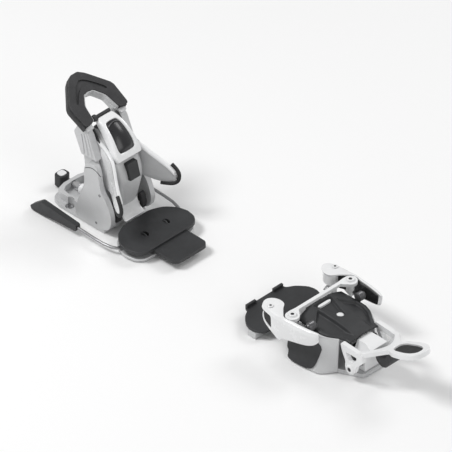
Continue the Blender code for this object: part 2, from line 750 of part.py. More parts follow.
def heel_cup_rim(side, sign):
    path = [(-266, 39.4, 64.5), (-262, 40.3, 60.5), (-259.8, 40.6, 56), (-260, 40.4, 50),
            (-263.5, 39.9, 45.2), (-268, 38.6, 41.6)]
    return wire("heel_cup_rim_" + side, [(x + 1.4, (y + 0.7) * sign, z) for x, y, z in path], 1.7,
                "black_rubber")


def heel_release_screw():
    """Release-setting screw at the top of the housing, with its knob."""
    run = Vector((-0.51, 0, 0.86)).normalized()
    start = Vector((RELEASE_SCREW[0], 0, RELEASE_SCREW[1]))
    return socket_screw("heel_release_screw", start, run, 3.6, 6.0, "black_plastic")


# ---------------------------------------------------------------- heel lever

def grip_matrix(lift=0.0):
    """Plane of the lever's loop; lift raises it along its normal."""
    along = Vector((-cos(GRIP_SLOPE), 0, sin(GRIP_SLOPE)))
    normal = Vector((sin(GRIP_SLOPE), 0, cos(GRIP_SLOPE)))
    origin = Vector((GRIP_START[0], 0, GRIP_START[1])) + normal * lift
    return frame_matrix(origin, along, (0, 1, 0))


def heel_lever():
    """Two legs up from the axle, carrying the sloping ring inside the grip."""
    outer = [(-4, 27), (8, 27), (24, 26), (46, 10), (50, 4)]
    inner = [(31, 0), (30.2, 6), (18.5, 13.8), (4, 14.6), (1, 18.8), (-4, 18.8)]
    points = mirrored(outer) + [(t, -y) for t, y in reversed(inner)] + inner[1:]
    lever = slab("heel_lever", [rounded(points, 1.5)], 2 * RING_HALF, grip_matrix(),
                 "grey_alloy")
    x, z = HEEL_PIVOT
    for side, sign in SIDES.items():
        leg = arc(HEEL_PIVOT, 7.0, 200, 340, 8)
        leg += [(-308.5, 68), (-322, 112), (-334, 117), (-328, 68)]
        low = plate("leg_" + side, "XZ", leg, 20.8 * sign, 25.0 * sign, None)
        upper = arc(HEEL_PIVOT, LEG_START, 80, 103, 4)
        upper += [(-341, 105), (-334.5, 116.5), (-326, 113.5), (-320.5, 109)]
        high = plate("upper_leg_" + side, "XZ", rounded(upper, 2), 19.5 * sign, 27.5 * sign,
                     None)
        join(lever, low, high)
        cut(lever, rod("leg_way_" + side, (x, 18 * sign, z), (x, 28 * sign, z), 3.4, None))
    return lever


def heel_lever_grip():
    outer = [(4, 31), (26, 30.2), (52.5, 11), (57.5, 5)]
    inner = [(32, 0), (31, 6.4), (19, 14.8), (4, 15.4)]
    points = mirrored(outer) + [(t, -y) for t, y in reversed(inner)] + inner[1:]
    lift = RING_HALF + GAP + GRIP_THICK / 2
    return slab("heel_lever_grip", [rounded(points, 2.5)], GRIP_THICK, grip_matrix(lift),
                "black_plastic", bevel=1.2)


# ---------------------------------------------------------------- brake

def brake_base_plate():
    outline = [(-281.5, 20), (-275, 33), (-265, 41), (-252, 44), (-240, 42), (-233, 34),
               (-232, 20)]
    return plate("brake_base_plate", "XY", mirrored(outline), 1.0, 4.2, "grey_alloy", corner=3)


def brake_pad():
    outline = [(-280, 18), (-274, 32), (-264, 41), (-252, 45), (-240, 43), (-233, 37),
               (-231, 28)]
    pad = plate("brake_pad", "XY", mirrored(outline), 9.6, 14, "black_plastic", corner=4,
                bevel=0.6)
    front = plate("pad_front", "XY", mirrored([(-236, 23.5), (-205, 23.5), (-200, 19)]), 7.4,
                  11.2, None, corner=2)
    join(pad, front)
    for side, sign in SIDES.items():
        moon = arc((-254, 15 * sign), 5.0, 0, 180, 8)
        cut(pad, plate("moon_" + side, "XY", moon, 5, 20, None))
    return pad


def brake_arm(side, sign):
    x, z = BRAKE_AXLE
    path = [(x, 8, z), (x, 40, z), (x - 1, 44, z), (x - 5, 47, z + 0.3), (-278, 49.6, 8),
            (-290, ARM_SIDE, 8.6), (-318, ARM_SIDE, 9.2)]
    return wire("brake_arm_" + side, [(px, py * sign, pz) for px, py, pz in path], WIRE_RADIUS,
               "steel")


def brake_paddle(side, sign):
    outline = [(-313, 13.2), (-313, 6), (-340, 4.4), (-362, 1.2), (-377, 0.8), (-379, 5),
               (-364, 17)]
    y = ARM_SIDE * sign
    paddle = plate("brake_paddle_" + side, "XZ", outline, y - 3.2 * sign, y + 3.2 * sign,
                   "black_plastic", corner=2, bevel=0.8)
    way = rod("paddle_way_" + side, (-305, y, PADDLE_Z), (-319, y, PADDLE_Z),
              WIRE_RADIUS + GAP, None)
    return cut(paddle, way)


def build_heel():
    heel_track()
    track_screws()
    track_cap()
    carry(pivot("heel_length_axis", (-386, 0, LENGTH_SCREW_Z)), length_screw())
    slider = pivot("heel_slide_axis", (HEEL_PIVOT[0], 0, 0))
    cup = pivot("heel_housing_axis", (HEEL_PIVOT[0], 0, HEEL_PIVOT[1]))
    handle = pivot("heel_lever_axis", (HEEL_PIVOT[0], 0, HEEL_PIVOT[1]))
    arms = pivot("brake_arm_axis", (BRAKE_AXLE[0], 0, BRAKE_AXLE[1]))
    pad = pivot("brake_pad_axis", (PAD_HINGE[0], 0, PAD_HINGE[1]))
    carry(slider, heel_carriage(), heel_axle(), heel_treadle(), brake_base_plate(), cup, handle,
          arms, pad)
    carry(cup, heel_housing(), heel_frame(), heel_window(), heel_tongue())
    carry(handle, heel_lever(), heel_lever_grip())
    carry(pad, brake_pad())
    setting = pivot("heel_release_axis", (RELEASE_SCREW[0], 0, RELEASE_SCREW[1]))
    carry(cup, setting)
    carry(setting, heel_release_screw())
    for side, sign in SIDES.items():
        carry(slider, heel_cheek(side, sign), heel_bumper(side, sign))
        carry(cup, heel_wing(side, sign), heel_cup_rim(side, sign))
        carry(arms, brake_arm(side, sign), brake_paddle(side, sign))


build_toe()
build_heel()
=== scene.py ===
import json
import math

import bmesh
import bpy
from mathutils import Matrix, Vector


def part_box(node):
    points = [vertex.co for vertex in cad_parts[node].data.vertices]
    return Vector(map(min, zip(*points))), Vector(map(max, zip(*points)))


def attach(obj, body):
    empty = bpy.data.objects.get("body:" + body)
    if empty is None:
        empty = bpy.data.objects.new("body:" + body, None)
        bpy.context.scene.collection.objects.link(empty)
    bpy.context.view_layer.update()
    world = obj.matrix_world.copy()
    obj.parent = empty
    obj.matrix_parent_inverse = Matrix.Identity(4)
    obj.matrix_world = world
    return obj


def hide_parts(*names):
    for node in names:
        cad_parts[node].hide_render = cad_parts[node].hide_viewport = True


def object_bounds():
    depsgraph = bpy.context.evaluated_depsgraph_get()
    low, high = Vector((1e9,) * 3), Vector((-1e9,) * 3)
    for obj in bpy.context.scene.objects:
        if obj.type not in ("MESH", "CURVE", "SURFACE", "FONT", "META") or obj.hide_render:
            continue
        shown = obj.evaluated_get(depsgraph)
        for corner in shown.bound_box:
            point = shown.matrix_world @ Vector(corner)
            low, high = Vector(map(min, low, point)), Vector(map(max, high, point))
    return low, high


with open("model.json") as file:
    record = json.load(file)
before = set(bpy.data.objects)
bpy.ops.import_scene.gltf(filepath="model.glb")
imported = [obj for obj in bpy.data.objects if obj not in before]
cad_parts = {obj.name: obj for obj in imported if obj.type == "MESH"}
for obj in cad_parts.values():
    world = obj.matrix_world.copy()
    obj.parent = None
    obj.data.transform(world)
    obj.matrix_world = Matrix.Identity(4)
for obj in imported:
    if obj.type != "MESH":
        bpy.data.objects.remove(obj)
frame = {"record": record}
cad_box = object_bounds()

# ---------------------------------------------------------------- driving values
# Shapes are written in millimetres in the frame's axes, and MM turns them into metres.
MM = 0.001
LOOK_AZIMUTH = math.radians(45)
LOOK_ELEVATION = math.radians(37)
LOOK_DISTANCE = 15.0
LOOK_WIDTH = 0.452
LOOK_TARGET = (-0.1524, 0, 0.0706)
SENSOR = 36.0
EDGE = 0.35 * MM
STEEP = math.radians(28)
FLAT = math.radians(0.6)
SAME_PLACE = 0.00001
SIDES = {"left": 1, "right": -1}


# ---------------------------------------------------------------- materials
CLOUD_SCALE = 45.0
PATCH_SCALE = 260.0
GLOSS_SCALE = 120.0
NOISE_ROUGHNESS = 0.55
EDGE_WEAR_AND_SHADING_RADIUS = 0.5 * MM
COAT_ROUGHNESS = 0.12
BUMP_STRENGTH = 0.6


def noise(tree, place, scale, detail):
    """A noise's value, from 0 to 1, at the place that a socket gives."""
    made = tree.nodes.new("ShaderNodeTexNoise")
    made.inputs["Scale"].default_value = scale
    made.inputs["Detail"].default_value = detail
    made.inputs["Roughness"].default_value = NOISE_ROUGHNESS
    tree.links.new(place, made.inputs["Vector"])
    return made.outputs["Fac"]


def spread(tree, value, low, high, to_low, to_high):
    """Maps a value from low..high to to_low..to_high, and holds it there outside."""
    made = tree.nodes.new("ShaderNodeMapRange")
    made.inputs["From Min"].default_value = low
    made.inputs["From Max"].default_value = high
    made.inputs["To Min"].default_value = to_low
    made.inputs["To Max"].default_value = to_high
    tree.links.new(value, made.inputs["Value"])
    return made.outputs["Result"]


def blend_colour(tree, amount, first, second):
    """Mixes two colours; each is a tuple or another node's socket."""
    made = tree.nodes.new("ShaderNodeMix")
    made.data_type = "RGBA"
    tree.links.new(amount, made.inputs["Factor"])
    for socket, colour in ((made.inputs[6], first), (made.inputs[7], second)):
        if isinstance(colour, tuple):
            socket.default_value = (*colour, 1.0)
        else:
            tree.links.new(colour, socket)
    return made.outputs[2]


def edge_mask(tree):
    """1 on a sharp outer or inner edge, 0 on a flat face."""
    geometry = tree.nodes.new("ShaderNodeNewGeometry")
    rounded = tree.nodes.new("ShaderNodeBevel")
    rounded.samples = 4
    rounded.inputs["Radius"].default_value = EDGE_WEAR_AND_SHADING_RADIUS
    dot = tree.nodes.new("ShaderNodeVectorMath")
    dot.operation = "DOT_PRODUCT"
    tree.links.new(rounded.outputs["Normal"], dot.inputs[0])
    tree.links.new(geometry.outputs["Normal"], dot.inputs[1])
    return spread(tree, dot.outputs["Value"], 0.99, 0.86, 0.0, 1.0)


def finish(name, colour, roughness, metallic=0.0, coat=0.0, shade=0.9, speck=0.0, grain=1500.0,
           depth=0.03, edge_wear_and_shading_colour=None, edge_wear_and_shading_amount=0.0, stretch=(1.0, 1.0, 1.0)):
    """A painted, moulded or metal surface: mottled colour, fine grain, uneven gloss, and a patchy tint on
    sharp edges and creases that is partly rub wear and partly painted shading, darker on white finishes and
    lighter on the others.
    """
    made = bpy.data.materials.new(name)
    made.use_nodes = True
    tree = made.node_tree
    shader = tree.nodes["Principled BSDF"]
    place = tree.nodes.new("ShaderNodeTexCoord").outputs["Object"]
    scaled = tree.nodes.new("ShaderNodeVectorMath")
    scaled.operation = "MULTIPLY"
    scaled.inputs[1].default_value = stretch
    tree.links.new(place, scaled.inputs[0])
    clouds = noise(tree, place, CLOUD_SCALE, 4.0)
    fine = noise(tree, scaled.outputs["Vector"], grain, 2.0)
    darker = tuple(c * shade for c in colour)
    mixed = blend_colour(tree, spread(tree, clouds, 0.35, 0.65, 0.0, 1.0), colour, darker)
    if speck:
        flecked = tuple(min(1.0, c * (1 + speck)) for c in colour)
        mixed = blend_colour(tree, spread(tree, fine, 0.58, 0.72, 0.0, 1.0), mixed, flecked)
    # Patchy tint on sharp edges and creases: partly rub wear, partly painted shading, darker on the white
    # finishes and lighter on the others.
    if edge_wear_and_shading_amount:
        patchy = noise(tree, place, PATCH_SCALE, 3.0)
        mask = tree.nodes.new("ShaderNodeMath")
        mask.operation = "MULTIPLY"
        tree.links.new(edge_mask(tree), mask.inputs[0])
        tree.links.new(spread(tree, patchy, 0.3, 0.7, 0.0, edge_wear_and_shading_amount), mask.inputs[1])
        mixed = blend_colour(tree, mask.outputs["Value"], mixed, edge_wear_and_shading_colour)
    tree.links.new(mixed, shader.inputs["Base Color"])
    uneven = noise(tree, place, GLOSS_SCALE, 5.0)
    gloss = spread(tree, uneven, 0.3, 0.7, roughness * 0.88, min(1.0, roughness * 1.14))
    tree.links.new(gloss, shader.inputs["Roughness"])
    shader.inputs["Metallic"].default_value = metallic
    shader.inputs["Coat Weight"].default_value = coat
    shader.inputs["Coat Roughness"].default_value = COAT_ROUGHNESS
    bump = tree.nodes.new("ShaderNodeBump")
    bump.inputs["Strength"].default_value = BUMP_STRENGTH
    bump.inputs["Distance"].default_value = depth * MM
    tree.links.new(fine, bump.inputs["Height"])
    tree.links.new(bump.outputs["Normal"], shader.inputs["Normal"])
    return made


# Each look's edge colour tints its sharp edges and creases: partly rub wear, partly painted shade on the
# white finishes and painted edge highlight on the others.
LOOKS = {
    "white_paint": finish("white_paint", (0.84, 0.845, 0.85), 0.34, coat=0.25, shade=0.96, depth=0.012,
                          edge_wear_and_shading_colour=(0.6, 0.6, 0.6), edge_wear_and_shading_amount=0.35),
    "grey_alloy": finish("grey_alloy", (0.60, 0.605, 0.61), 0.42, metallic=0.25, shade=0.92, speck=0.08,
                         grain=2200.0, depth=0.02, edge_wear_and_shading_colour=(0.8, 0.8, 0.8), edge_wear_and_shading_amount=0.5),
    "black_plastic": finish("black_plastic", (0.031, 0.032, 0.034), 0.52, shade=0.75, speck=0.5, grain=2600.0,
                            depth=0.05, edge_wear_and_shading_colour=(0.12, 0.12, 0.12), edge_wear_and_shading_amount=0.5),
    "black_gloss": finish("black_gloss", (0.016, 0.016, 0.018), 0.3, coat=0.15, shade=0.8, depth=0.006,
                          edge_wear_and_shading_colour=(0.08, 0.08, 0.08), edge_wear_and_shading_amount=0.3),
    "black_rubber": finish("black_rubber", (0.026, 0.026, 0.027), 0.78, shade=0.8, speck=0.3, grain=1900.0,
                           depth=0.08, edge_wear_and_shading_colour=(0.07, 0.07, 0.07), edge_wear_and_shading_amount=0.4),
    "steel": finish("steel", (0.46, 0.46, 0.47), 0.3, metallic=1.0, shade=0.8, grain=900.0, depth=0.01,
                    edge_wear_and_shading_colour=(0.75, 0.75, 0.76), edge_wear_and_shading_amount=0.6, stretch=(1.0, 1.0, 6.0)),
    "chrome": finish("chrome", (0.8, 0.8, 0.81), 0.09, metallic=1.0, shade=0.92, grain=600.0, depth=0.004),
    "jaw_white": finish("jaw_white", (0.84, 0.845, 0.85), 0.26, coat=0.5, shade=0.96, depth=0.01,
                        edge_wear_and_shading_colour=(0.6, 0.6, 0.6), edge_wear_and_shading_amount=0.3),
    "dark_chrome": finish("dark_chrome", (0.16, 0.16, 0.165), 0.16, metallic=0.9, shade=0.6, grain=500.0,
                          depth=0.02),
    "knob_grey": finish("knob_grey", (0.14, 0.14, 0.145), 0.35, metallic=0.6, shade=0.7, depth=0.02,
                        edge_wear_and_shading_colour=(0.4, 0.4, 0.4), edge_wear_and_shading_amount=0.6),
    "black_grip": finish("black_grip", (0.030, 0.030, 0.032), 0.6, shade=0.7, speck=0.9, grain=2100.0,
                         depth=0.16, edge_wear_and_shading_colour=(0.1, 0.1, 0.1), edge_wear_and_shading_amount=0.5),
}
SLOT_OF = {row["node"]: row["material_slot"] for row in frame["record"]["subparts"]}
BODY_OF = {node: body for body, nodes in frame["record"]["behaviour"]["bodies"].items() for node in nodes}


# ---------------------------------------------------------------- carried-over nodes
SOFT_EDGES = {"toe_lever": 1.1 * MM, "toe_cross_bar": 0.9 * MM, "toe_hub": 0.9 * MM,
              "toe_lever_insert": 0.6 * MM, "heel_track": 0.8 * MM, "brake_pad": 0.9 * MM,
              "brake_base_plate": 0.8 * MM}


def dress(thing, look):
    """Gives an object its only material and smooth faces."""
    thing.data.materials.clear()
    thing.data.materials.append(LOOKS[look])
    for face in thing.data.polygons:
        face.use_smooth = True


def round_edges(thing, width, segments, angle=STEEP):
    """Rounds the edges that are sharper than angle; width in metres."""
    edges = thing.modifiers.new("edges", "BEVEL")
    edges.width = width
    edges.segments = segments
    edges.limit_method = "ANGLE"
    edges.angle_limit = angle


def even_normals(thing):
    """Lets large faces keep their flat shading beside rounded edges."""
    even = thing.modifiers.new("normals", "WEIGHTED_NORMAL")
    even.keep_sharp = True


def refine(name, width, segments):
    """Rounds a carried-over CAD node's edges and gives it its finish; its mesh stays as it is."""
    thing = bpy.data.objects[name]
    weld = thing.modifiers.new("weld", "WELD")
    weld.merge_threshold = SAME_PLACE
    flat = thing.modifiers.new("flat", "DECIMATE")
    flat.decimate_type = "DISSOLVE"
    flat.angle_limit = FLAT
    round_edges(thing, width, segments)
    dress(thing, SLOT_OF[name])
    even_normals(thing)


for cad_name in SLOT_OF:
    if cad_name in SOFT_EDGES:
        refine(cad_name, SOFT_EDGES[cad_name], 4)
    else:
        refine(cad_name, EDGE, 2)


# ---------------------------------------------------------------- making pieces
def hold(made, look, body, stands_for=()):
    """Puts a new piece in the scene, with its finish, its body and the CAD nodes that it stands for."""
    bpy.context.scene.collection.objects.link(made)
    dress(made, look)
    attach(made, body)
    if stands_for:
        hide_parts(*stands_for)


def solid(name, points, faces):
    """A mesh object from points in millimetres."""
    mesh = bpy.data.meshes.new(name)
    mesh.from_pydata([Vector(p) * MM for p in points], [], faces)
    mesh.update()
    return bpy.data.objects.new(name, mesh)


def outward(made):
    """Welds a closed mesh and turns its faces outwards."""
    shape = bmesh.new()
    shape.from_mesh(made.data)
    bmesh.ops.remove_doubles(shape, verts=shape.verts, dist=SAME_PLACE)
    bmesh.ops.recalc_face_normals(shape, faces=shape.faces)
    shape.to_mesh(made.data)
    shape.free()
    return made


def from_curve(name, line):
    """A mesh from a curve's evaluated shape; the curve itself is removed."""
    carrier = bpy.data.objects.new(name + "_curve", line)
    bpy.context.scene.collection.objects.link(carrier)
    evaluated = carrier.evaluated_get(bpy.context.evaluated_depsgraph_get())
    mesh = bpy.data.meshes.new_from_object(evaluated)
    bpy.data.objects.remove(carrier, do_unlink=True)
    bpy.data.curves.remove(line)
    mesh.name = name
    return mesh


def smoother(made, levels):
    """Subdivides an object's coarse surface."""
    rounded = made.modifiers.new("smooth", "SUBSURF")
    rounded.levels = levels
    rounded.render_levels = levels


def thicken(made, thickness):
    """Gives an open surface its thickness, behind its face side."""
    thick = made.modifiers.new("thick", "SOLIDIFY")
    thick.thickness = thickness * MM
    thick.offset = -1


def bevelled(made, width, segments=3, angle=STEEP):
    """Rounded edges, with width in millimetres, and even shading."""
    round_edges(made, width * MM, segments, angle)
    even_normals(made)


def grid_faces(row_count, width, start=0, flip=False, gaps=()):
    """Faces between rows of points that are numbered from start."""
    faces = []
    for i in range(row_count - 1):
        for j in range(width - 1):
            if (i, j) in gaps:
                continue
            a = start + i * width + j
            face = (a, a + width, a + width + 1, a + 1)
            faces.append(face[::-1] if flip else face)
    return faces


def skin(name, rows, thickness, levels=2, gaps=(), flip=False):
    """A thick skin over rows of points; thickness goes behind the face side."""
    faces = grid_faces(len(rows), len(rows[0]), 0, flip, gaps)
    made = solid(name, [p for row in rows for p in row], faces)
    thicken(made, thickness)
    if levels:
        smoother(made, levels)
    return made


def mirrored(outline, sign):
    """An outline of (X, Y) points on the side that sign gives."""
    return [(x, sign * y) for x, y in outline]


def rounded_loop(points, times=2, cut=0.25):
    """Cuts the corners of a closed outline, a few times over."""
    for _ in range(times):
        cut_points = []
        for here, there in zip(points, points[1:] + points[:1]):
            a, b = Vector(here), Vector(there)
            cut_points += [a.lerp(b, cut), a.lerp(b, 1 - cut)]
        points = cut_points
    return [tuple(p) for p in points]


def slab(name, loops, low, high, place=None, bevel=0.5, segments=3):
    """A flat outline with holes, from low to high along its normal, with rounded edges."""
    flat = bpy.data.curves.new(name, "CURVE")
    flat.dimensions = "2D"
    flat.fill_mode = "BOTH"
    flat.extrude = (high - low) / 2
    for loop in loops:
        line = flat.splines.new("POLY")
        line.points.add(len(loop) - 1)
        for point, (x, y) in zip(line.points, loop):
            point.co = (x, y, 0, 1)
        line.use_cyclic_u = True
    mesh = from_curve(name, flat)
    mesh.transform(Matrix.Translation((0, 0, (low + high) / 2)))
    if place:
        mesh.transform(place)
    mesh.transform(Matrix.Scale(MM, 4))
    made = outward(bpy.data.objects.new(name, mesh))
    if bevel:
        bevelled(made, bevel, segments)
    return made


def upright(y=0.0):
    """Outline X is the object's X and outline Y its height; the slab's normal is -Y."""
    return Matrix(((1, 0, 0, 0), (0, 0, -1, y), (0, 1, 0, 0), (0, 0, 0, 1)))


def turned(name, profile, start, direction, sides=36, socket=False):
    """Profile points are radius and distance along direction; a socket makes the last two rings hexagons."""
    along = Vector(direction).normalized()
    across = along.orthogonal().normalized()
    other = along.cross(across)
    points, faces = [], []
    for index, (radius, distance) in enumerate(profile):
        hexagonal = socket and index >= len(profile) - 2
        for i in range(sides):
            angle = 2 * math.pi * i / sides
            reach = radius
            if hexagonal:
                reach = radius * math.cos(math.pi / 6) / math.cos(angle % (math.pi / 3) - math.pi / 6)
            spoke = across * math.cos(angle) + other * math.sin(angle)
            points.append(Vector(start) + along * distance + spoke * reach)
    for ring in range(len(profile) - 1):
        for i in range(sides):
            j = (i + 1) % sides
            a = ring * sides
            faces.append((a + i, a + j, a + sides + j, a + sides + i))
    faces.append(tuple(range(sides))[::-1])
    last = (len(profile) - 1) * sides
    faces.append(tuple(last + i for i in range(sides)))
    return outward(solid(name, points, faces))


def socket_head(name):
    """A cap screw's head in place of a CAD screw, with a rounded rim and a hexagon socket whose floor is a
    black disc of painted shade.
    """
    low, high = (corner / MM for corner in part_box(name))
    radius = (high.x - low.x) / 2
    height = high.z - low.z
    hole = radius * 0.5
    floor = 0.3 * height
    rim = min(0.2 * radius, 0.4 * height)
    profile = [(radius * 0.96, 0), (radius, 0.15 * height), (radius, height - rim),
               (radius - 0.35 * rim, height - 0.3 * rim), (radius - rim, height),
               (hole * 1.2, height), (hole * 1.02, height - 0.15), (hole, height - 0.3), (hole * 0.98, floor)]
    centre = ((low.x + high.x) / 2, (low.y + high.y) / 2, low.z)
    made = turned("head_" + name, profile, centre, (0, 0, 1), socket=True)
    bevelled(made, 0.08, 1)
    hold(made, "jaw_white", BODY_OF[name], [name])
    # Black disc at the socket's floor: painted shade for the depth of the hexagon hole.
    profile = [(hole * 0.84, floor), (hole * 0.84, height - 0.45), (hole * 0.7, height - 0.4)]
    bed = turned("socket_" + name, profile, centre, (0, 0, 1), sides=24)
    hold(bed, "black_rubber", BODY_OF[name])


def tube(name, points, radius):
    """A round wire through points, with smooth bends."""
    line = bpy.data.curves.new(name, "CURVE")
    line.dimensions = "3D"
    line.bevel_depth = radius * MM
    line.bevel_resolution = 5
    line.use_fill_caps = True
    line.resolution_u = 8
    spline = line.splines.new("NURBS")
    spline.points.add(len(points) - 1)
    for point, place in zip(spline.points, points):
        point.co = (*(Vector(place) * MM), 1)
    spline.order_u = 3
    spline.use_endpoint_u = True
    return outward(bpy.data.objects.new(name, from_curve(name, line)))


def middle_of(name):
    """X and Z of the middle of a CAD node's box, in millimetres."""
    low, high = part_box(name)
    return (low.x + high.x) / 2 / MM, (low.z + high.z) / 2 / MM


def interpolate(table, x):
    """Value at x from rows of (x, value), along straight lines between them."""
    if x <= table[0][0]:
        return table[0][1]
    for (x0, v0), (x1, v1) in zip(table, table[1:]):
        if x <= x1:
            t = (x - x0) / (x1 - x0)
            return v0 + (v1 - v0) * t
    return table[-1][1]


def step(value, low, high):
    """0 up to low, 1 from high on, and smooth between them."""
    t = max(0.0, min(1.0, (value - low) / (high - low)))
    return t * t * (3 - 2 * t)


# ---------------------------------------------------------------- toe shell, panels and cover
SHELL_TOP_Z = 40.6
SHELL_LOW_Z = 0.8
SHELL_STATIONS = [-20.3, -14, -7, 0, 7, 13, 18, 22, 25, 28, 30.5, 32]
SHELL_HEIGHTS = [SHELL_TOP_Z, 36, 30, 24, 18, 12, 7, 3, SHELL_LOW_Z]
SHELL_THICK = 2.8
# Half widths along the shell at its top, at mid height and at its foot.
SHELL_TOP = [(-31, 33), (-20, 34), (0, 34.5), (12, 34.3), (20, 32), (26, 28.6), (32, 25)]
SHELL_WAIST = [(-31, 38), (-20, 38.5), (0, 38.2), (12, 37.6), (20, 35.4), (26, 31), (32, 26)]
SHELL_LOW = [(-31, 43.5), (-20, 46), (0, 45.4), (12, 44.6), (20, 43.4), (24, 39.5), (28, 33), (32, 26.5)]


def shell_half(x, z):
    """Half width of the toe shell: flared to its foot, hollow at mid height."""
    rise = (z - SHELL_LOW_Z) / (SHELL_TOP_Z - SHELL_LOW_Z)
    low, waist, top = (interpolate(t, x) for t in (SHELL_LOW, SHELL_WAIST, SHELL_TOP))
    return low * (1 - rise) ** 2 + 2 * rise * (1 - rise) * (2 * waist - (low + top) / 2) + top * rise ** 2


def toe_shell():
    """The two flared side walls, which share one mesh."""
    width = len(SHELL_HEIGHTS)
    points, faces = [], []
    for sign in (1, -1):
        faces += grid_faces(len(SHELL_STATIONS), width, len(points), flip=sign < 0)
        points += [(x, sign * shell_half(x, z), z) for x in SHELL_STATIONS for z in SHELL_HEIGHTS]
    made = solid("toe_shell_skin", points, faces)
    thicken(made, SHELL_THICK)
    smoother(made, 2)
    hold(made, "grey_alloy", "base", ["toe_shell"])


PANEL = [(-20, 1.6), (4, 1.6), (12.5, 4), (15, 10), (18.5, 33), (-25, 33), (-25, 12), (-20.5, 9.5)]
PANEL_THICK = 1.5
PANEL_SUNK = 0.3
PANEL_LONGEST_EDGE = 6.0


def side_panel(side, sign):
    """Black moulded panel that follows the shell's side, with rounded corners and edges."""
    made = slab("toe_panel_" + side, [rounded_loop(PANEL, 2, 0.22)], 0, PANEL_THICK, bevel=0)
    shape = bmesh.new()
    shape.from_mesh(made.data)
    for _ in range(2):
        long_edges = [e for e in shape.edges if e.calc_length() > PANEL_LONGEST_EDGE * MM]
        if long_edges:
            bmesh.ops.subdivide_edges(shape, edges=long_edges, cuts=1)
    bmesh.ops.triangulate(shape, faces=shape.faces)
    for vert in shape.verts:
        x, z, out = (c / MM for c in vert.co)
        vert.co = Vector((x, sign * (shell_half(x, z) + out - PANEL_SUNK), z)) * MM
    bmesh.ops.recalc_face_normals(shape, faces=shape.faces)
    shape.to_mesh(made.data)
    shape.free()
    bevelled(made, 0.5, 2, math.radians(50))
    hold(made, "black_plastic", "base", ["toe_side_panel_" + side])


# Along the cover: its half width, the ridge's half width, and the heights of its ridge and of its edge.
COVER_HALF = [(-20.5, 32), (0, 33.2), (12, 33), (20, 30.6), (26, 27), (32, 23), (36, 20.8), (42, 20)]
COVER_RIDGE = [(-20.5, 13), (0, 12), (20, 11), (42, 9.5)]
COVER_TOP = [(-20.5, 49.4), (-6, 49.2), (14, 47.4), (28, 44.6), (42, 41)]
COVER_EDGE = [(-20.5, 42.6), (12, 42.3), (26, 41.4), (42, 39.6)]
COVER_BAR = [(-15.8, -8.6), (-12.2, -8.6), (-12.2, 8.6), (-15.8, 8.6)]
COVER_BAR_LOW = 45.6
COVER_BAR_HIGH = 48.3
COVER_REAR = -20.4
COVER_FRONT = 42
COVER_THICK = 1.7
COVER_BOW = 1.15
COVER_LIP = 1.4
COVER_LIP_DROP = 0.9
# A facet lies in front of the line from FACET_START along FACET_RUN, which are (X, distance from the middle).
FACET_START = (-12.5, 12)
FACET_RUN = (17, 20)
FACET_RUN_LENGTH = 26.3
FACET_BORDER = 4.2
FACET_WALL = 1.6
FACET_DEPTH = 3.5
FACET_END = 40
FACET_FADE = 14
WEDGE_START = -18.5
WEDGE_END = 8.0
WEDGE_LENGTH = 26
WEDGE_WIDE = 12
WEDGE_NARROW = 3.6
WEDGE_DEPTH = 3.2
RIVET_X = 8.3
RIVET_Z = 44.4
RIVET = [(4.0, 0), (4.1, 0.9), (3.7, 1.5), (2.8, 1.9), (1.6, 2.1), (0.6, 2.15)]
POCKET_RADIUS = 4.4
CREASE_START = 20
CREASE_SHARE = 0.55
CREASE_DEPTH = 0.25


def facet_depth(x, d, ridge, half):
    """Depth of the facet sunk beside the ridge, in front of a slanting line."""
    (start_x, start_d), (run_x, run_d) = FACET_START, FACET_RUN
    ahead = ((x - start_x) * run_d - (d - start_d) * run_x) / FACET_RUN_LENGTH
    beside = step(d - ridge, 0, FACET_WALL)
    within = step(half - FACET_BORDER - d, 0, FACET_WALL)
    sunk = step(ahead, 0, 1.8) * beside * within
    return sunk * FACET_DEPTH * step(FACET_END - x, 0, FACET_FADE)


def wedge_depth(x, y):
    """Depth of the wedge sunk in the deck, which narrows to a round pocket at the rivet."""
    if x > RIVET_X:
        inside = POCKET_RADIUS - math.hypot(x - RIVET_X, y)
    else:
        widening = max(0.0, (WEDGE_END - x) / WEDGE_LENGTH)
        inside = WEDGE_NARROW + (WEDGE_WIDE - WEDGE_NARROW) * widening - abs(y)
    return step(inside, -0.5, 0.7) * step(x - WEDGE_START, 0, 1.2) * WEDGE_DEPTH


def cover_height(x, y):
    """Height of the toe cover: a ridged deck with a sunk wedge, and a sunk facet on each side."""
    d = abs(y)
    ridge, half = interpolate(COVER_RIDGE, x), interpolate(COVER_HALF, x)
    top, edge = interpolate(COVER_TOP, x), interpolate(COVER_EDGE, x)
    if d <= ridge:
        z = top
    else:
        z = top + (edge - top) * ((d - ridge) / (half - ridge)) ** COVER_BOW
    z -= facet_depth(x, d, ridge, half) + wedge_depth(x, y)
    crease = step(1.0 - abs(d - CREASE_SHARE * half), 0, 1.0) * step(x - CREASE_START, 0, 6)
    lip = step(d - half + COVER_LIP, 0, COVER_LIP)
    return z - CREASE_DEPTH * crease - COVER_LIP_DROP * lip


def toe_cover():
    """The cover's deck with its bright cross bar, and its polished aluminium rivet, whose white colour is a
    painted reflection.
    """
    columns = 92
    steps = 78
    rows = []
    for i in range(steps + 1):
        x = COVER_REAR + (COVER_FRONT - COVER_REAR) * i / steps
        half = interpolate(COVER_HALF, x)
        ys = [half * (2 * j / columns - 1) for j in range(columns + 1)]
        rows.append([(x, y, cover_height(x, y)) for y in ys])
    made = skin("toe_cover", rows, COVER_THICK, levels=0)
    even_normals(made)
    hold(made, "black_plastic", "base", ["toe_top_cover"])
    bar = slab("toe_cover_bar", [rounded_loop(COVER_BAR, 2, 0.2)], COVER_BAR_LOW, COVER_BAR_HIGH)
    hold(bar, "white_paint", "base")
    # The rivet is polished aluminium; its white colour is a painted reflection, the metal's bright look
    # painted in.
    rivet = turned("toe_cover_rivet", RIVET, (RIVET_X, 0, RIVET_Z), (0, 0, 1), sides=40)
    hold(rivet, "jaw_white", "base")


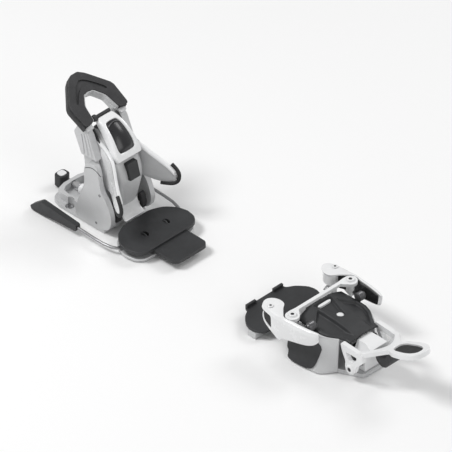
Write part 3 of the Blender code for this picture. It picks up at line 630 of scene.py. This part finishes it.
# ---------------------------------------------------------------- toe jaws
JAW_STATIONS = [
    # x, inner edge of the flange, outer face, foot of the wall
    (-56.0, 40.4, 45.0, 39.0), (-54.4, 36.0, 48.0, 36.4), (-50.6, 32.4, 50.6, 33.0),
    (-45.6, 30.8, 51.6, 30.4), (-41.0, 31.0, 52.4, 28.6), (-37.5, 32.2, 52.8, 27.2),
    (-35.2, 35.0, 52.8, 26.0), (-32.0, 40.0, 53.0, 24.4), (-28.0, 43.2, 53.0, 22.4),
    (-25.0, 46.4, 53.0, 21.6), (-23.6, 47.8, 53.0, 25.4), (-20.0, 49.2, 52.9, 26.6),
    (-15.5, 49.0, 52.7, 27.8), (-11.5, 47.4, 52.5, 28.8), (-4.0, 47.2, 52.0, 30.4),
    (4.0, 46.4, 51.4, 32.0), (11.0, 45.4, 50.4, 33.8), (16.5, 44.4, 49.0, 36.0),
    (20.5, 43.6, 47.4, 39.0), (23.0, 43.6, 45.6, 43.0)]
JAW_TOP = 53.0
JAW_THICK = 2.6
JAW_ROLL = 4.6
JAW_SHOULDER = 5.2
JAW_LIP = 3.4
MOUTH_END = -37.5
HOLLOW_STATIONS = JAW_STATIONS[10:-2]
HOLLOW_TOP = JAW_TOP - 3.2
LOBE_LOW = 38.5
LOBE_HIGH = 51.2
LOBE = [(-54.6, 39.5), (-52, 35.6), (-46, 32.4), (-40, 32.4), (-36.6, 34.6), (-35.5, 38.5),
        (-36.5, 43.5), (-42, 46.4), (-51, 46)]
LINER_LOW = 32.0
LINER_HIGH = 48.6
LINER = [(-54.4, 42), (-37, 43), (-27.4, 46.6), (-27.4, 50.3), (-40, 50), (-49, 49), (-53.6, 46)]


def jaw_skin(side, sign):
    """Flange, rolled outer edge and outer wall of a jaw, with the open mouth at its rear."""
    rows = []
    for x, inner, outer, foot in JAW_STATIONS:
        roll = min(JAW_ROLL, (outer - inner) * 0.55)
        wall_top = JAW_TOP - min(JAW_SHOULDER, (JAW_TOP - foot) * 0.42)
        lip = foot + min(JAW_LIP, (wall_top - foot) * 0.4)
        profile = [(inner, JAW_TOP - 0.3), (inner + 0.7, JAW_TOP),
                   ((inner + outer - roll) / 2, JAW_TOP), (outer - roll, JAW_TOP),
                   (outer - 0.30 * roll, JAW_TOP - 0.9), (outer, JAW_TOP - 0.8 * (JAW_TOP - wall_top)),
                   (outer, wall_top), (outer - 0.3, (wall_top + lip) / 2), (outer - 0.7, lip),
                   (outer - 1.3, foot)]
        rows.append([(x, sign * y, z) for y, z in profile])
    gaps = {(i, j) for i in range(len(rows) - 1) for j in (6, 7) if rows[i + 1][0][0] <= MOUTH_END}
    made = skin("toe_jaw_skin_" + side, rows, JAW_THICK, gaps=gaps, flip=sign < 0)
    hold(made, "jaw_white", "toe_jaw_" + side, ["toe_jaw_" + side])


def jaw_lobe(side, sign):
    """The block under the jaw's rear lobe, which holds the toe pin, and the dark liner of its mouth."""
    loop = rounded_loop(mirrored(LOBE, sign))
    made = slab("toe_jaw_block_" + side, [loop], LOBE_LOW, LOBE_HIGH, bevel=1.4, segments=4)
    hold(made, "white_paint", "toe_jaw_" + side)
    loop = rounded_loop(mirrored(LINER, sign), 2, 0.15)
    dark = slab("toe_jaw_mouth_" + side, [loop], LINER_LOW, LINER_HIGH, bevel=0.8)
    hold(dark, "black_rubber", "toe_jaw_" + side, ["toe_jaw_liner_" + side])


def jaw_inside(side, sign):
    """Dark hollow inside the front half of a jaw."""
    rows = []
    for x, inner, outer, foot in HOLLOW_STATIONS:
        profile = [(inner + 0.5, HOLLOW_TOP), (outer - 3.6, HOLLOW_TOP - 0.8),
                   (outer - 3.4, (HOLLOW_TOP + foot) / 2), (outer - 4.2, foot + 1.5)]
        rows.append([(x, sign * y, z) for y, z in profile])
    made = skin("toe_jaw_inside_" + side, rows, 0.6, flip=sign > 0)
    hold(made, "dark_chrome", "toe_jaw_" + side)


HUB_Y = 26.4
HUB_SOCKET_Y = 27.35
TONGUE = [(67.5, 33.5), (69.5, 27), (77, 22.6), (84.5, 26), (88.4, 35), (88.2, 44.2), (84.4, 43),
          (82, 36.4), (75, 34.6)]
TONGUE_HALF = 10.6


def plunger(side, sign):
    """Ribbed dark knob between the cover and the jaw, with a ring at its inner end."""
    low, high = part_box("toe_plunger_" + side)
    x, z = middle_of("toe_plunger_" + side)
    inner, outer = sorted((abs(low.y) / MM, abs(high.y) / MM))
    end = outer - inner
    ribs = 5
    pitch = (end - 3.0) / ribs
    profile = [(3.4, 0)]
    for i in range(ribs):
        at = 0.4 + pitch * i
        profile += [(4.1, at), (4.75, at + 0.25 * pitch), (4.75, at + 0.6 * pitch), (4.1, at + 0.85 * pitch)]
    profile += [(4.3, end - 2.4), (3.5, end - 1.6), (3.2, end - 0.5), (2.4, end)]
    made = turned("toe_knob_" + side, profile, (x, sign * inner, z), (0, sign, 0), sides=40)
    hold(made, "knob_grey", "base", ["toe_plunger_" + side])
    profile = [(4.6, 0), (4.9, 0.3), (4.9, 0.9), (4.5, 1.2), (3.8, 1.2), (3.6, 0.2)]
    ring = turned("toe_knob_ring_" + side, profile, (x, sign * (inner - 0.4), z), (0, sign, 0), sides=40)
    hold(ring, "knob_grey", "base")


def lever_hub(side, sign):
    """Rounded boss with a dark socket at each end of the toe lever's axle."""
    x, z = middle_of("toe_lever_axle")
    profile = [(5.6, 0), (5.6, 0.9), (5.0, 1.6), (3.4, 1.8), (2.6, 1.8), (2.5, 1.3)]
    hub = turned("toe_lever_hub_" + side, profile, (x, HUB_Y * sign, z), (0, sign, 0), sides=40)
    hold(hub, "jaw_white", "toe_lever")
    profile = [(2.4, 0), (2.4, 0.5), (2.0, 0.7)]
    bed = turned("toe_lever_socket_" + side, profile, (x, HUB_SOCKET_Y * sign, z), (0, sign, 0), sides=24)
    hold(bed, "black_rubber", "toe_lever")


def toe_tongue():
    """Rounded, grained finger tongue under the toe lever's loop."""
    loop = rounded_loop(TONGUE, 2, 0.22)
    made = slab("toe_tongue", [loop], -TONGUE_HALF, TONGUE_HALF, upright(), bevel=2.2, segments=5)
    hold(made, "black_grip", "toe_lever", ["toe_lever_tongue"])


toe_shell()
toe_cover()
toe_tongue()
for side, sign in SIDES.items():
    side_panel(side, sign)
    jaw_skin(side, sign)
    jaw_lobe(side, sign)
    jaw_inside(side, sign)
    plunger(side, sign)
    socket_head("toe_jaw_rear_screw_" + side)
    socket_head("toe_jaw_pivot_screw_" + side)
    lever_hub(side, sign)


# ---------------------------------------------------------------- heel unit
GRIP_START = (-325.0, 114.0)
GRIP_SLOPE = math.radians(27.6)
FRAME_TOP = Vector((-324.0, 0, 119.0))
FRAME_BOTTOM = Vector((-288.0, 0, 86.0))


def plane(origin, along, normal):
    """Outline X runs along, outline Y across, and the slab's normal is the plane's."""
    along, normal = Vector(along).normalized(), Vector(normal).normalized()
    across = normal.cross(along)
    matrix = Matrix((along, across, normal)).transposed().to_4x4()
    matrix.translation = origin
    return matrix


GRIP_PLANE = plane((GRIP_START[0], 0, GRIP_START[1]), (-math.cos(GRIP_SLOPE), 0, math.sin(GRIP_SLOPE)),
                   (math.sin(GRIP_SLOPE), 0, math.cos(GRIP_SLOPE)))
FRAME_ALONG = (FRAME_BOTTOM - FRAME_TOP).normalized()
FRAME_PLANE = plane(FRAME_TOP, FRAME_ALONG, (-FRAME_ALONG.z, 0, FRAME_ALONG.x))


def both_sides(half):
    """A symmetric outline from one half; its ends are 0.02 off the middle line, or further, to stay apart."""
    return half + [(a, -b) for a, b in reversed(half)]


def joined(name, pieces):
    """One mesh object from several, each with its own edge rounding applied."""
    shape = bmesh.new()
    for made in pieces:
        bpy.context.scene.collection.objects.link(made)
    graph = bpy.context.evaluated_depsgraph_get()
    for made in pieces:
        mesh = bpy.data.meshes.new_from_object(made.evaluated_get(graph))
        shape.from_mesh(mesh)
        bpy.data.meshes.remove(mesh)
    for made in pieces:
        bpy.data.objects.remove(made, do_unlink=True)
    mesh = bpy.data.meshes.new(name)
    shape.to_mesh(mesh)
    shape.free()
    result = bpy.data.objects.new(name, mesh)
    even_normals(result)
    return result


# Outlines on the grip's plane: along the loop from its start, and out from its middle line.
GRIP_OUTER = [(-0.5, 29.6), (26, 30.4), (49.5, 11.4), (54.4, 4.8)]
GRIP_INNER = [(1.0, 17.8), (19, 14.8), (30, 6.6), (31, 0.02)]
GRIP_LINER = [(2.4, 16.6), (18.6, 13.6), (29, 5.8), (29.8, 0.02)]
GRIP_CUT = 0.09
SKIRT_SPAN = (-2.3, 4.0)
ARCH_SPAN = (2.7, 7.0)
DECK_SPAN = (4.6, 8.6)
LINER_SPAN = (-2.4, 7.4)
RING_OUTER = [(-0.5, 27.6), (24.3, 26.8), (46.4, 10.8), (50.6, 4.2)]
CRESCENT = [(45.6, 0.02), (43.8, 5.5), (35, 14), (25.5, 21.5), (22.8, 20), (31.8, 12.3), (37, 5),
            (37.5, 0.02)]


def heel_grip():
    """Thick angular grip on the lever's ring, with a sunk crescent at its crown and a bright lining."""
    outer, inner = both_sides(GRIP_OUTER), both_sides(GRIP_INNER)
    arch = rounded_loop(outer + inner[::-1], 2, GRIP_CUT)
    skirt = rounded_loop(outer + both_sides(RING_OUTER)[::-1], 2, GRIP_CUT)
    crescent = rounded_loop(both_sides(CRESCENT), 1)
    pieces = [slab("grip_skirt", [skirt], *SKIRT_SPAN, GRIP_PLANE, bevel=0.9),
              slab("grip_low", [arch], *ARCH_SPAN, GRIP_PLANE, bevel=0.8),
              slab("grip_deck", [arch, crescent], *DECK_SPAN, GRIP_PLANE, bevel=1.3, segments=4)]
    hold(joined("heel_grip", pieces), "black_grip", "heel_lever", ["heel_lever_grip"])
    rim = rounded_loop(inner + both_sides(GRIP_LINER)[::-1], 2, GRIP_CUT)
    liner = slab("heel_grip_liner", [rim], *LINER_SPAN, GRIP_PLANE, bevel=0.3)
    hold(liner, "grey_alloy", "heel_lever")


CHEEK = [(-291, 4.4), (-283, 20), (-289, 39), (-299, 50.5), (-302, 62), (-303, 73), (-306, 79.4),
         (-313, 80.2), (-320.6, 77), (-323.8, 66), (-322, 51), (-331, 29), (-337, 9), (-332, 4.4)]
CHEEK_INNER = 25.4
CHEEK_OUTER = 31.3
SEAM_REAR = (-321.4, 70.5)
SEAM_LENGTH = 22.6
SEAM_RISE = 4.6


def side_slab(name, outline, inner, outer, sign, bevel):
    """An upright slab between two distances from the middle plane, on one side of it."""
    low, high = sorted((-inner * sign, -outer * sign))
    return slab(name, [outline], low, high, upright(), bevel, segments=4)


def heel_cheek(side, sign):
    """Side plate of the carriage: a tower with a rounded top on a wide foot, with a seam near its top."""
    outline = rounded_loop(CHEEK, 3, 0.24)
    plate = side_slab("heel_cheek_plate_" + side, outline, CHEEK_INNER, CHEEK_OUTER, sign, 1.3)
    hold(plate, "grey_alloy", "heel_carriage", ["heel_cheek_" + side])
    seam = []
    for i in range(11):
        t = i / 10
        seam.append((SEAM_REAR[0] + SEAM_LENGTH * t, sign * CHEEK_OUTER,
                     SEAM_REAR[1] + SEAM_RISE * math.sin(math.pi * t)))
    hold(tube("heel_cheek_seam_" + side, seam, 0.35), "black_plastic", "heel_carriage")


# The first rib's outline has these X values at its foot and at its top; the others are shifted back.
RIB_FOOT = (-317.4, -314.0)
RIB_TOP = (-322.6, -325.4)
RIB_SHIFTS = (0.0, 5.8, 11.6)
RIB_LOW = 84
RIB_HIGH = 110
RIB_Y = 27.5
RIB_HALF = 0.8


def lever_ribs(side, sign):
    """Long raised ribs on the outside of the heel lever's leg; they draw together towards the top."""
    ribs = []
    for i, shift in enumerate(RIB_SHIFTS):
        outline = [(x - shift, RIB_LOW) for x in RIB_FOOT]
        outline += [(x - shift * 0.6, RIB_HIGH - 0.3 * shift) for x in RIB_TOP]
        loop = rounded_loop(outline, 2, 0.2)
        ribs.append(slab("rib_%d" % i, [loop], -RIB_HALF, RIB_HALF, upright(sign * RIB_Y)))
    hold(joined("heel_lever_ribs_" + side, ribs), "grey_alloy", "heel_lever")


# Half widths of the frame and of its window, along the frame from its upper end
FRAME_HALF = [(-0.8, 9.2), (2.5, 11.4), (18, 13.8), (44, 17.2), (49.4, 15.8)]
WINDOW_START = 7.5
WINDOW_END = 42.2
WINDOW_HALF = [(WINDOW_START, 6.2), (10, 8.6), (24, 10.0), (38, 11.3), (WINDOW_END, 9.4)]
FRAME_S = [-0.8, 1.0, 4.0, WINDOW_START, 8.8, 13, 18, 24, 30, 36, 40.6, WINDOW_END, 45.5, 48, 49.4]
FRAME_BULGE = 6.0
FRAME_LENGTH = 48.8
FRAME_THICK = 2.6
GLASS_START = 6.0
GLASS_END = 43.6
GLASS_REST = 2.4
GLASS_EDGE = 4.0
GLASS_ACROSS = (-1, -0.92, -0.7, -0.4, 0, 0.4, 0.7, 0.92, 1)
ARC_S = 12.6
ARC_BOW = 2.6
ARC_SHARE = 0.86
WINDOW_BED = [(4, 9), (8, 10.6), (38, 13.5), (45, 12)]


def frame_arch(s):
    """How far the frame's face stands above its straight chord."""
    t = max(0.0, min(1.0, s / FRAME_LENGTH))
    return FRAME_BULGE * math.sin(math.pi * t ** 0.85)


def frame_point(s, y, n):
    """A point along the frame, across it and above its chord."""
    place = FRAME_PLANE @ Vector((s, y, n))
    return (place.x, place.y, place.z)


def heel_frame():
    """White arched frame with a rounded window and folded sides."""
    rows = []
    for s in FRAME_S:
        half, hole, top = interpolate(FRAME_HALF, s), interpolate(WINDOW_HALF, s), frame_arch(s)
        fold = 7.0 + 0.8 * top
        right = [(hole * 0.5, top), (hole, top), ((hole + half) / 2, top), (half - 0.7, top - 0.1),
                 (half, top - 0.9), (half + 0.25, top - fold * 0.5), (half, top - fold)]
        across = [(-y, n) for y, n in right[::-1]] + [(0, top)] + right
        rows.append([frame_point(s, y, n) for y, n in across])
    middle = len(rows[0]) // 2
    window = range(FRAME_S.index(WINDOW_START), FRAME_S.index(WINDOW_END))
    gaps = {(i, j) for i in window for j in range(middle - 2, middle + 2)}
    made = skin("heel_frame_cover", rows, FRAME_THICK, gaps=gaps)
    hold(made, "jaw_white", "heel_cup", ["heel_frame"])


def heel_barrel():
    """Crowned dark glass in the frame's window, with a paler arc near its top and a dark bed under it."""
    rows = []
    steps = 16
    for i in range(steps + 1):
        s = GLASS_START + (GLASS_END - GLASS_START) * i / steps
        half, top = interpolate(WINDOW_HALF, s) + 1.0, frame_arch(s)
        end = min(1.0, (s - GLASS_START) / GLASS_EDGE, (GLASS_END - s) / GLASS_EDGE)
        crown = 1.2 + 2.6 * end
        rows.append([frame_point(s, half * y, top - GLASS_REST + crown * (1 - y * y)) for y in GLASS_ACROSS])
    glass = skin("heel_window_glass", rows, 1.6)
    hold(glass, "black_gloss", "heel_cup", ["heel_window"])
    arc = []
    for i in range(13):
        y = -1 + 2 * i / 12
        s = ARC_S - ARC_BOW * (1 - y * y)
        half, top = interpolate(WINDOW_HALF, s), frame_arch(s)
        arc.append(frame_point(s, half * ARC_SHARE * y, top - 1.6 + 3.4 * (1 - (ARC_SHARE * y) ** 2)))
    hold(tube("heel_window_arc", arc, 0.55), "knob_grey", "heel_cup")
    bed = rounded_loop(both_sides(WINDOW_BED), 2, 0.2)
    hold(slab("heel_window_bed", [bed], -6.4, -3.4, FRAME_PLANE), "black_plastic", "heel_cup")


TOP_BAR_START = (-2.6, 0, -3.0)
TOP_BAR_HALF = 10
TOP_KNOB_END = 13.6
TOP_BAR = [(1.6, 0), (2.0, 0.4), (2.0, 19.6), (1.6, 20)]
TOP_KNOB = [(2.2, 0), (3.4, 0.7), (3.7, 2.0), (3.7, 3.6), (3.0, 4.6), (2.0, 5.0)]


def heel_top_knob():
    """Black cross bar behind the frame's upper edge, with a knob at the right-hand end."""
    start = FRAME_PLANE @ Vector(TOP_BAR_START)
    bar = turned("bar", TOP_BAR, start + Vector((0, -TOP_BAR_HALF, 0)), (0, 1, 0), sides=28)
    knob = turned("knob", TOP_KNOB, start + Vector((0, -TOP_KNOB_END, 0)), (0, 1, 0))
    hold(joined("heel_top_bar", [bar, knob]), "black_plastic", "heel_cup")


SHROUD = [(-332, 106), (-325.5, 115.5), (-318, 108), (-297, 66), (-303, 60), (-322, 92)]
SHROUD_Y = 17.8
SHROUD_HALF = 0.7


def heel_shroud(side, sign):
    """Black strip between the housing and the lever's leg."""
    loop = rounded_loop(SHROUD, 2, 0.2)
    made = slab("heel_shroud_" + side, [loop], -SHROUD_HALF, SHROUD_HALF, upright(sign * SHROUD_Y), bevel=0.4)
    hold(made, "black_plastic", "heel_cup")


WING = [
    # x, inner face, lower and upper edge
    (-319, 16.9, 82, 100.5), (-312, 16.9, 62, 97), (-304, 17.2, 46, 92.4), (-297, 19.2, 47.5, 89),
    (-292, 21.2, 48.2, 86.6), (-285, 25.6, 45.2, 80.2), (-277.5, 30.8, 43, 72.8), (-270, 35.2, 43.8, 66.4),
    (-265, 37.4, 46.2, 61.6), (-262, 38.6, 49, 57.8)]
WING_RIM = [(-268, 38.4, 66.6), (-263.6, 40.2, 62.6), (-260.2, 41.2, 57.6), (-259.6, 41.0, 52.4),
            (-261.2, 40.4, 47.2), (-265.2, 38.8, 43.6), (-271, 36.0, 42.2), (-277.5, 32.2, 42.0)]
WING_RIM_RADIUS = 2.0
WING_THICK = 2.0
WING_LEAN = 0.3
WING_LEVELS = (0, 0.33, 0.66, 1)
WING_TIP_START = -268


def heel_wing(side, sign):
    """Wing that cups the boot's heel: a thin web, a white outer skin and upper edge, and a dark rim."""
    rows = [[(x, sign * (y + WING_LEAN * (1 - t)), low + (high - low) * t) for t in WING_LEVELS]
            for x, y, low, high in WING]
    web = skin("heel_wing_web_" + side, rows, WING_THICK, flip=sign < 0)
    hold(web, "grey_alloy", "heel_cup", ["heel_wing_" + side])
    rows = [[(x, sign * (y + WING_THICK + 0.1 + WING_LEAN * (1 - t)), low + 0.6 + (high - low - 1.0) * t)
             for t in WING_LEVELS] for x, y, low, high in WING[1:]]
    outside = skin("heel_wing_outside_" + side, rows, 0.4, flip=sign < 0)
    hold(outside, "jaw_white", "heel_cup")
    rows = []
    for x, y, low, high in WING:
        taper = 1 if x < WING_TIP_START else 0.75
        loop = [(y - 2.6, high - 3.2 * taper), (y - 3.0, high), (y - 1.6, high + 1.4), (y + 1.0, high + 1.4),
                (y + 2.0, high), (y + 1.9, high - 3.4 * taper)]
        rows.append([(x, sign * a, b) for a, b in loop + loop[:1]])
    edge = skin("heel_wing_edge_" + side, rows, 0.8, flip=sign < 0)
    hold(edge, "jaw_white", "heel_cup")
    rim = tube("heel_wing_rim_" + side, [(x, sign * y, z) for x, y, z in WING_RIM], WING_RIM_RADIUS)
    hold(rim, "black_rubber", "heel_cup", ["heel_cup_rim_" + side])


HOUSING = [
    # height, rear, front, half width
    (27, -322, -291, 11.0), (34, -325, -289.4, 11.4), (42, -326, -287.6, 12.0), (52, -325, -286, 13.2),
    (62, -323.5, -285.4, 15.0), (71, -325, -288.6, 16.4), (82, -327.5, -294.4, 16.6),
    (92, -329.5, -305, 15.6), (101, -331, -314.6, 13.6), (107, -330, -321.4, 10.8)]


def heel_housing():
    """Body of the heel, waisted below the frame, with rounded corners."""
    rows = []
    for z, rear, front, half in HOUSING:
        right = [(rear, half - 2), (rear + 2, half), (front - 5, half), (front - 1.4, half - 1.2),
                 (front, half - 4.4)]
        loop = right + [(front, 0)] + [(x, -y) for x, y in right[::-1]]
        rows.append([(x, y, z) for x, y in loop + loop[:1]])
    made = skin("heel_housing_body", rows, 2.0, flip=True)
    hold(made, "grey_alloy", "heel_cup", ["heel_housing"])


TREADLE_TOP = 29.5
TREADLE = [(-297, TREADLE_TOP), (-290.6, TREADLE_TOP), (-289.8, 25), (-288.8, 20.6), (-286.4, 17.2),
           (-282.8, 15.4), (-281.0, 14.8), (-281.2, 13.9)]
TREADLE_FLARE = 0.012


def heel_treadle():
    """Hollowed step between the housing and the brake pad, a little wider towards its foot."""
    rows = [[(x, y * (1 + TREADLE_FLARE * (TREADLE_TOP - z)), z) for y in (-11.6, -10.6, 0, 10.6, 11.6)]
            for x, z in TREADLE]
    made = skin("heel_treadle_step", rows, 1.6)
    hold(made, "jaw_white", "heel_carriage", ["heel_treadle"])


BUMPER = [(-293, 13), (-286.2, 13), (-285.2, 21), (-288, 31), (-293, 31)]
BUMPER_INNER = 14.6
BUMPER_OUTER = 20.6


def heel_bumper(side, sign):
    """Black rubber block beside the treadle."""
    outline = rounded_loop(BUMPER, 2, 0.22)
    made = side_slab("heel_bumper_block_" + side, outline, BUMPER_INNER, BUMPER_OUTER, sign, 1.6)
    hold(made, "black_rubber", "heel_carriage", ["heel_bumper_" + side])


# X, height and radius of each cheek's pins, and X, half width and height of the housing's.
CHEEK_PINS = [(-301, 46, 1.5), (-306, 9.6, 1.3)]
CHEEK_PIN_Y = 30.9
HOUSING_PINS = [(-293.0, 15.0, 62), (-296.5, 16.4, 72)]
HOUSING_PIN = [(1.4, 0), (1.4, 0.5), (1.0, 0.7), (0.6, 0.3)]


def tiny_pins():
    """Small dark pin heads on the cheeks and on the housing."""
    for side, sign in SIDES.items():
        for i, (x, z, radius) in enumerate(CHEEK_PINS):
            profile = [(radius, 0), (radius, 0.5), (radius * 0.7, 0.7), (radius * 0.5, 0.35)]
            start = (x, sign * CHEEK_PIN_Y, z)
            made = turned("heel_cheek_pin_%s_%d" % (side, i), profile, start, (0, sign, 0), sides=20)
            hold(made, "black_plastic", "heel_carriage")
        for i, (x, y, z) in enumerate(HOUSING_PINS):
            start = (x, sign * (y - 0.4), z)
            made = turned("heel_housing_pin_%s_%d" % (side, i), HOUSING_PIN, start, (0, sign, 0), sides=20)
            hold(made, "black_plastic", "heel_cup")


COLLAR = [(4.2, 0), (5.2, 0.5), (5.4, 1.2), (5.4, 4.2), (5.0, 5.0), (3.4, 5.2)]
COLLAR_X = -359.4
END_CAP = [(-390, -9.8), (-378.4, -9.8), (-378.4, 4.6), (-390, 4.6)]
END_CAP_TAB = [(-388.6, -7), (-380.4, -7), (-380.4, 1.8), (-388.6, 1.8)]


def track_details():
    """Collar of the length screw, the track's end cap and the cap's white tab."""
    z = middle_of("heel_length_screw")[1]
    collar = turned("length_screw_collar", COLLAR, (COLLAR_X, 0, z), (1, 0, 0), sides=40)
    hold(collar, "white_paint", "base")
    low, high = (corner.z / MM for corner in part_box("heel_track_cap"))
    outline = rounded_loop(END_CAP, 2, 0.2)
    cap = slab("track_end_cap", [outline], low, high, bevel=1.2, segments=4)
    hold(cap, "black_plastic", "base", ["heel_track_cap"])
    outline = rounded_loop(END_CAP_TAB, 2, 0.2)
    tab = slab("track_cap_tab", [outline], high - 0.4, high + 0.9, bevel=0.4)
    hold(tab, "white_paint", "base")


BRAKE_HOOK = [(-258.4, 15, 13.4), (-255.4, 15.4, 15.0), (-251.6, 15, 14.6), (-249.6, 14.6, 12.6)]


def brake_hooks():
    """Small wire bows on the brake pad."""
    for side, sign in SIDES.items():
        made = tube("brake_hook_" + side, [(x, y * sign, z) for x, y, z in BRAKE_HOOK], 0.9)
        hold(made, "black_plastic", "brake_pad")


heel_grip()
heel_frame()
heel_barrel()
heel_top_knob()
heel_housing()
heel_treadle()
tiny_pins()
track_details()
brake_hooks()
for side, sign in SIDES.items():
    lever_ribs(side, sign)
    heel_shroud(side, sign)
    heel_wing(side, sign)
    heel_cheek(side, sign)
    heel_bumper(side, sign)


# ---------------------------------------------------------------- stage
FLOOR_SIZE = 12.0
FLOOR_GAP = 0.5 * MM
FLOOR_PALE = (0.92, 0.92, 0.92, 1)
WORLD_LIGHT = 0.42
# Place, size and power of the soft lamps, in metres and watts.
LAMPS = {"key": ((-0.9, -0.9, 1.7), 0.7, 22), "fill": ((1.4, -0.2, 0.9), 1.0, 5),
         "back": ((0.2, 1.5, 1.4), 0.9, 10)}


def floor_and_world():
    """Pale floor just under the object, and even light from all around."""
    bpy.ops.mesh.primitive_plane_add(size=FLOOR_SIZE, location=(0, 0, cad_box[0].z - FLOOR_GAP))
    floor = bpy.context.object
    floor.name = "floor"
    pale = bpy.data.materials.new("pale_floor")
    pale.use_nodes = True
    shader = pale.node_tree.nodes["Principled BSDF"]
    shader.inputs["Base Color"].default_value = FLOOR_PALE
    shader.inputs["Roughness"].default_value = 0.9
    floor.data.materials.append(pale)
    world = bpy.data.worlds.new("studio")
    world.use_nodes = True
    background = world.node_tree.nodes["Background"]
    background.inputs["Color"].default_value = (1, 1, 1, 1)
    background.inputs["Strength"].default_value = WORLD_LIGHT
    bpy.context.scene.world = world
    bpy.context.scene.view_settings.view_transform = "Standard"


def lamp(name, place, size, power, target):
    """A round soft lamp that faces its target."""
    light = bpy.data.lights.new(name, "AREA")
    light.shape = "DISK"
    light.size = size
    light.energy = power
    made = bpy.data.objects.new(name, light)
    made.location = place
    made.rotation_euler = (target - Vector(place)).to_track_quat("-Z", "Y").to_euler()
    bpy.context.scene.collection.objects.link(made)


def camera():
    """Far camera with a narrow view, so that the picture is nearly parallel."""
    back = Vector((math.sin(LOOK_AZIMUTH) * math.cos(LOOK_ELEVATION),
                   -math.cos(LOOK_AZIMUTH) * math.cos(LOOK_ELEVATION),
                   math.sin(LOOK_ELEVATION)))
    data = bpy.data.cameras.new("camera")
    data.sensor_width = SENSOR
    data.lens = SENSOR * LOOK_DISTANCE / LOOK_WIDTH
    made = bpy.data.objects.new("camera", data)
    made.location = Vector(LOOK_TARGET) + back * LOOK_DISTANCE
    made.rotation_euler = (-back).to_track_quat("-Z", "Y").to_euler()
    bpy.context.scene.collection.objects.link(made)
    bpy.context.scene.camera = made


floor_and_world()
for lamp_name, (place, size, power) in LAMPS.items():
    lamp(lamp_name, place, size, power, (cad_box[0] + cad_box[1]) / 2)
camera()
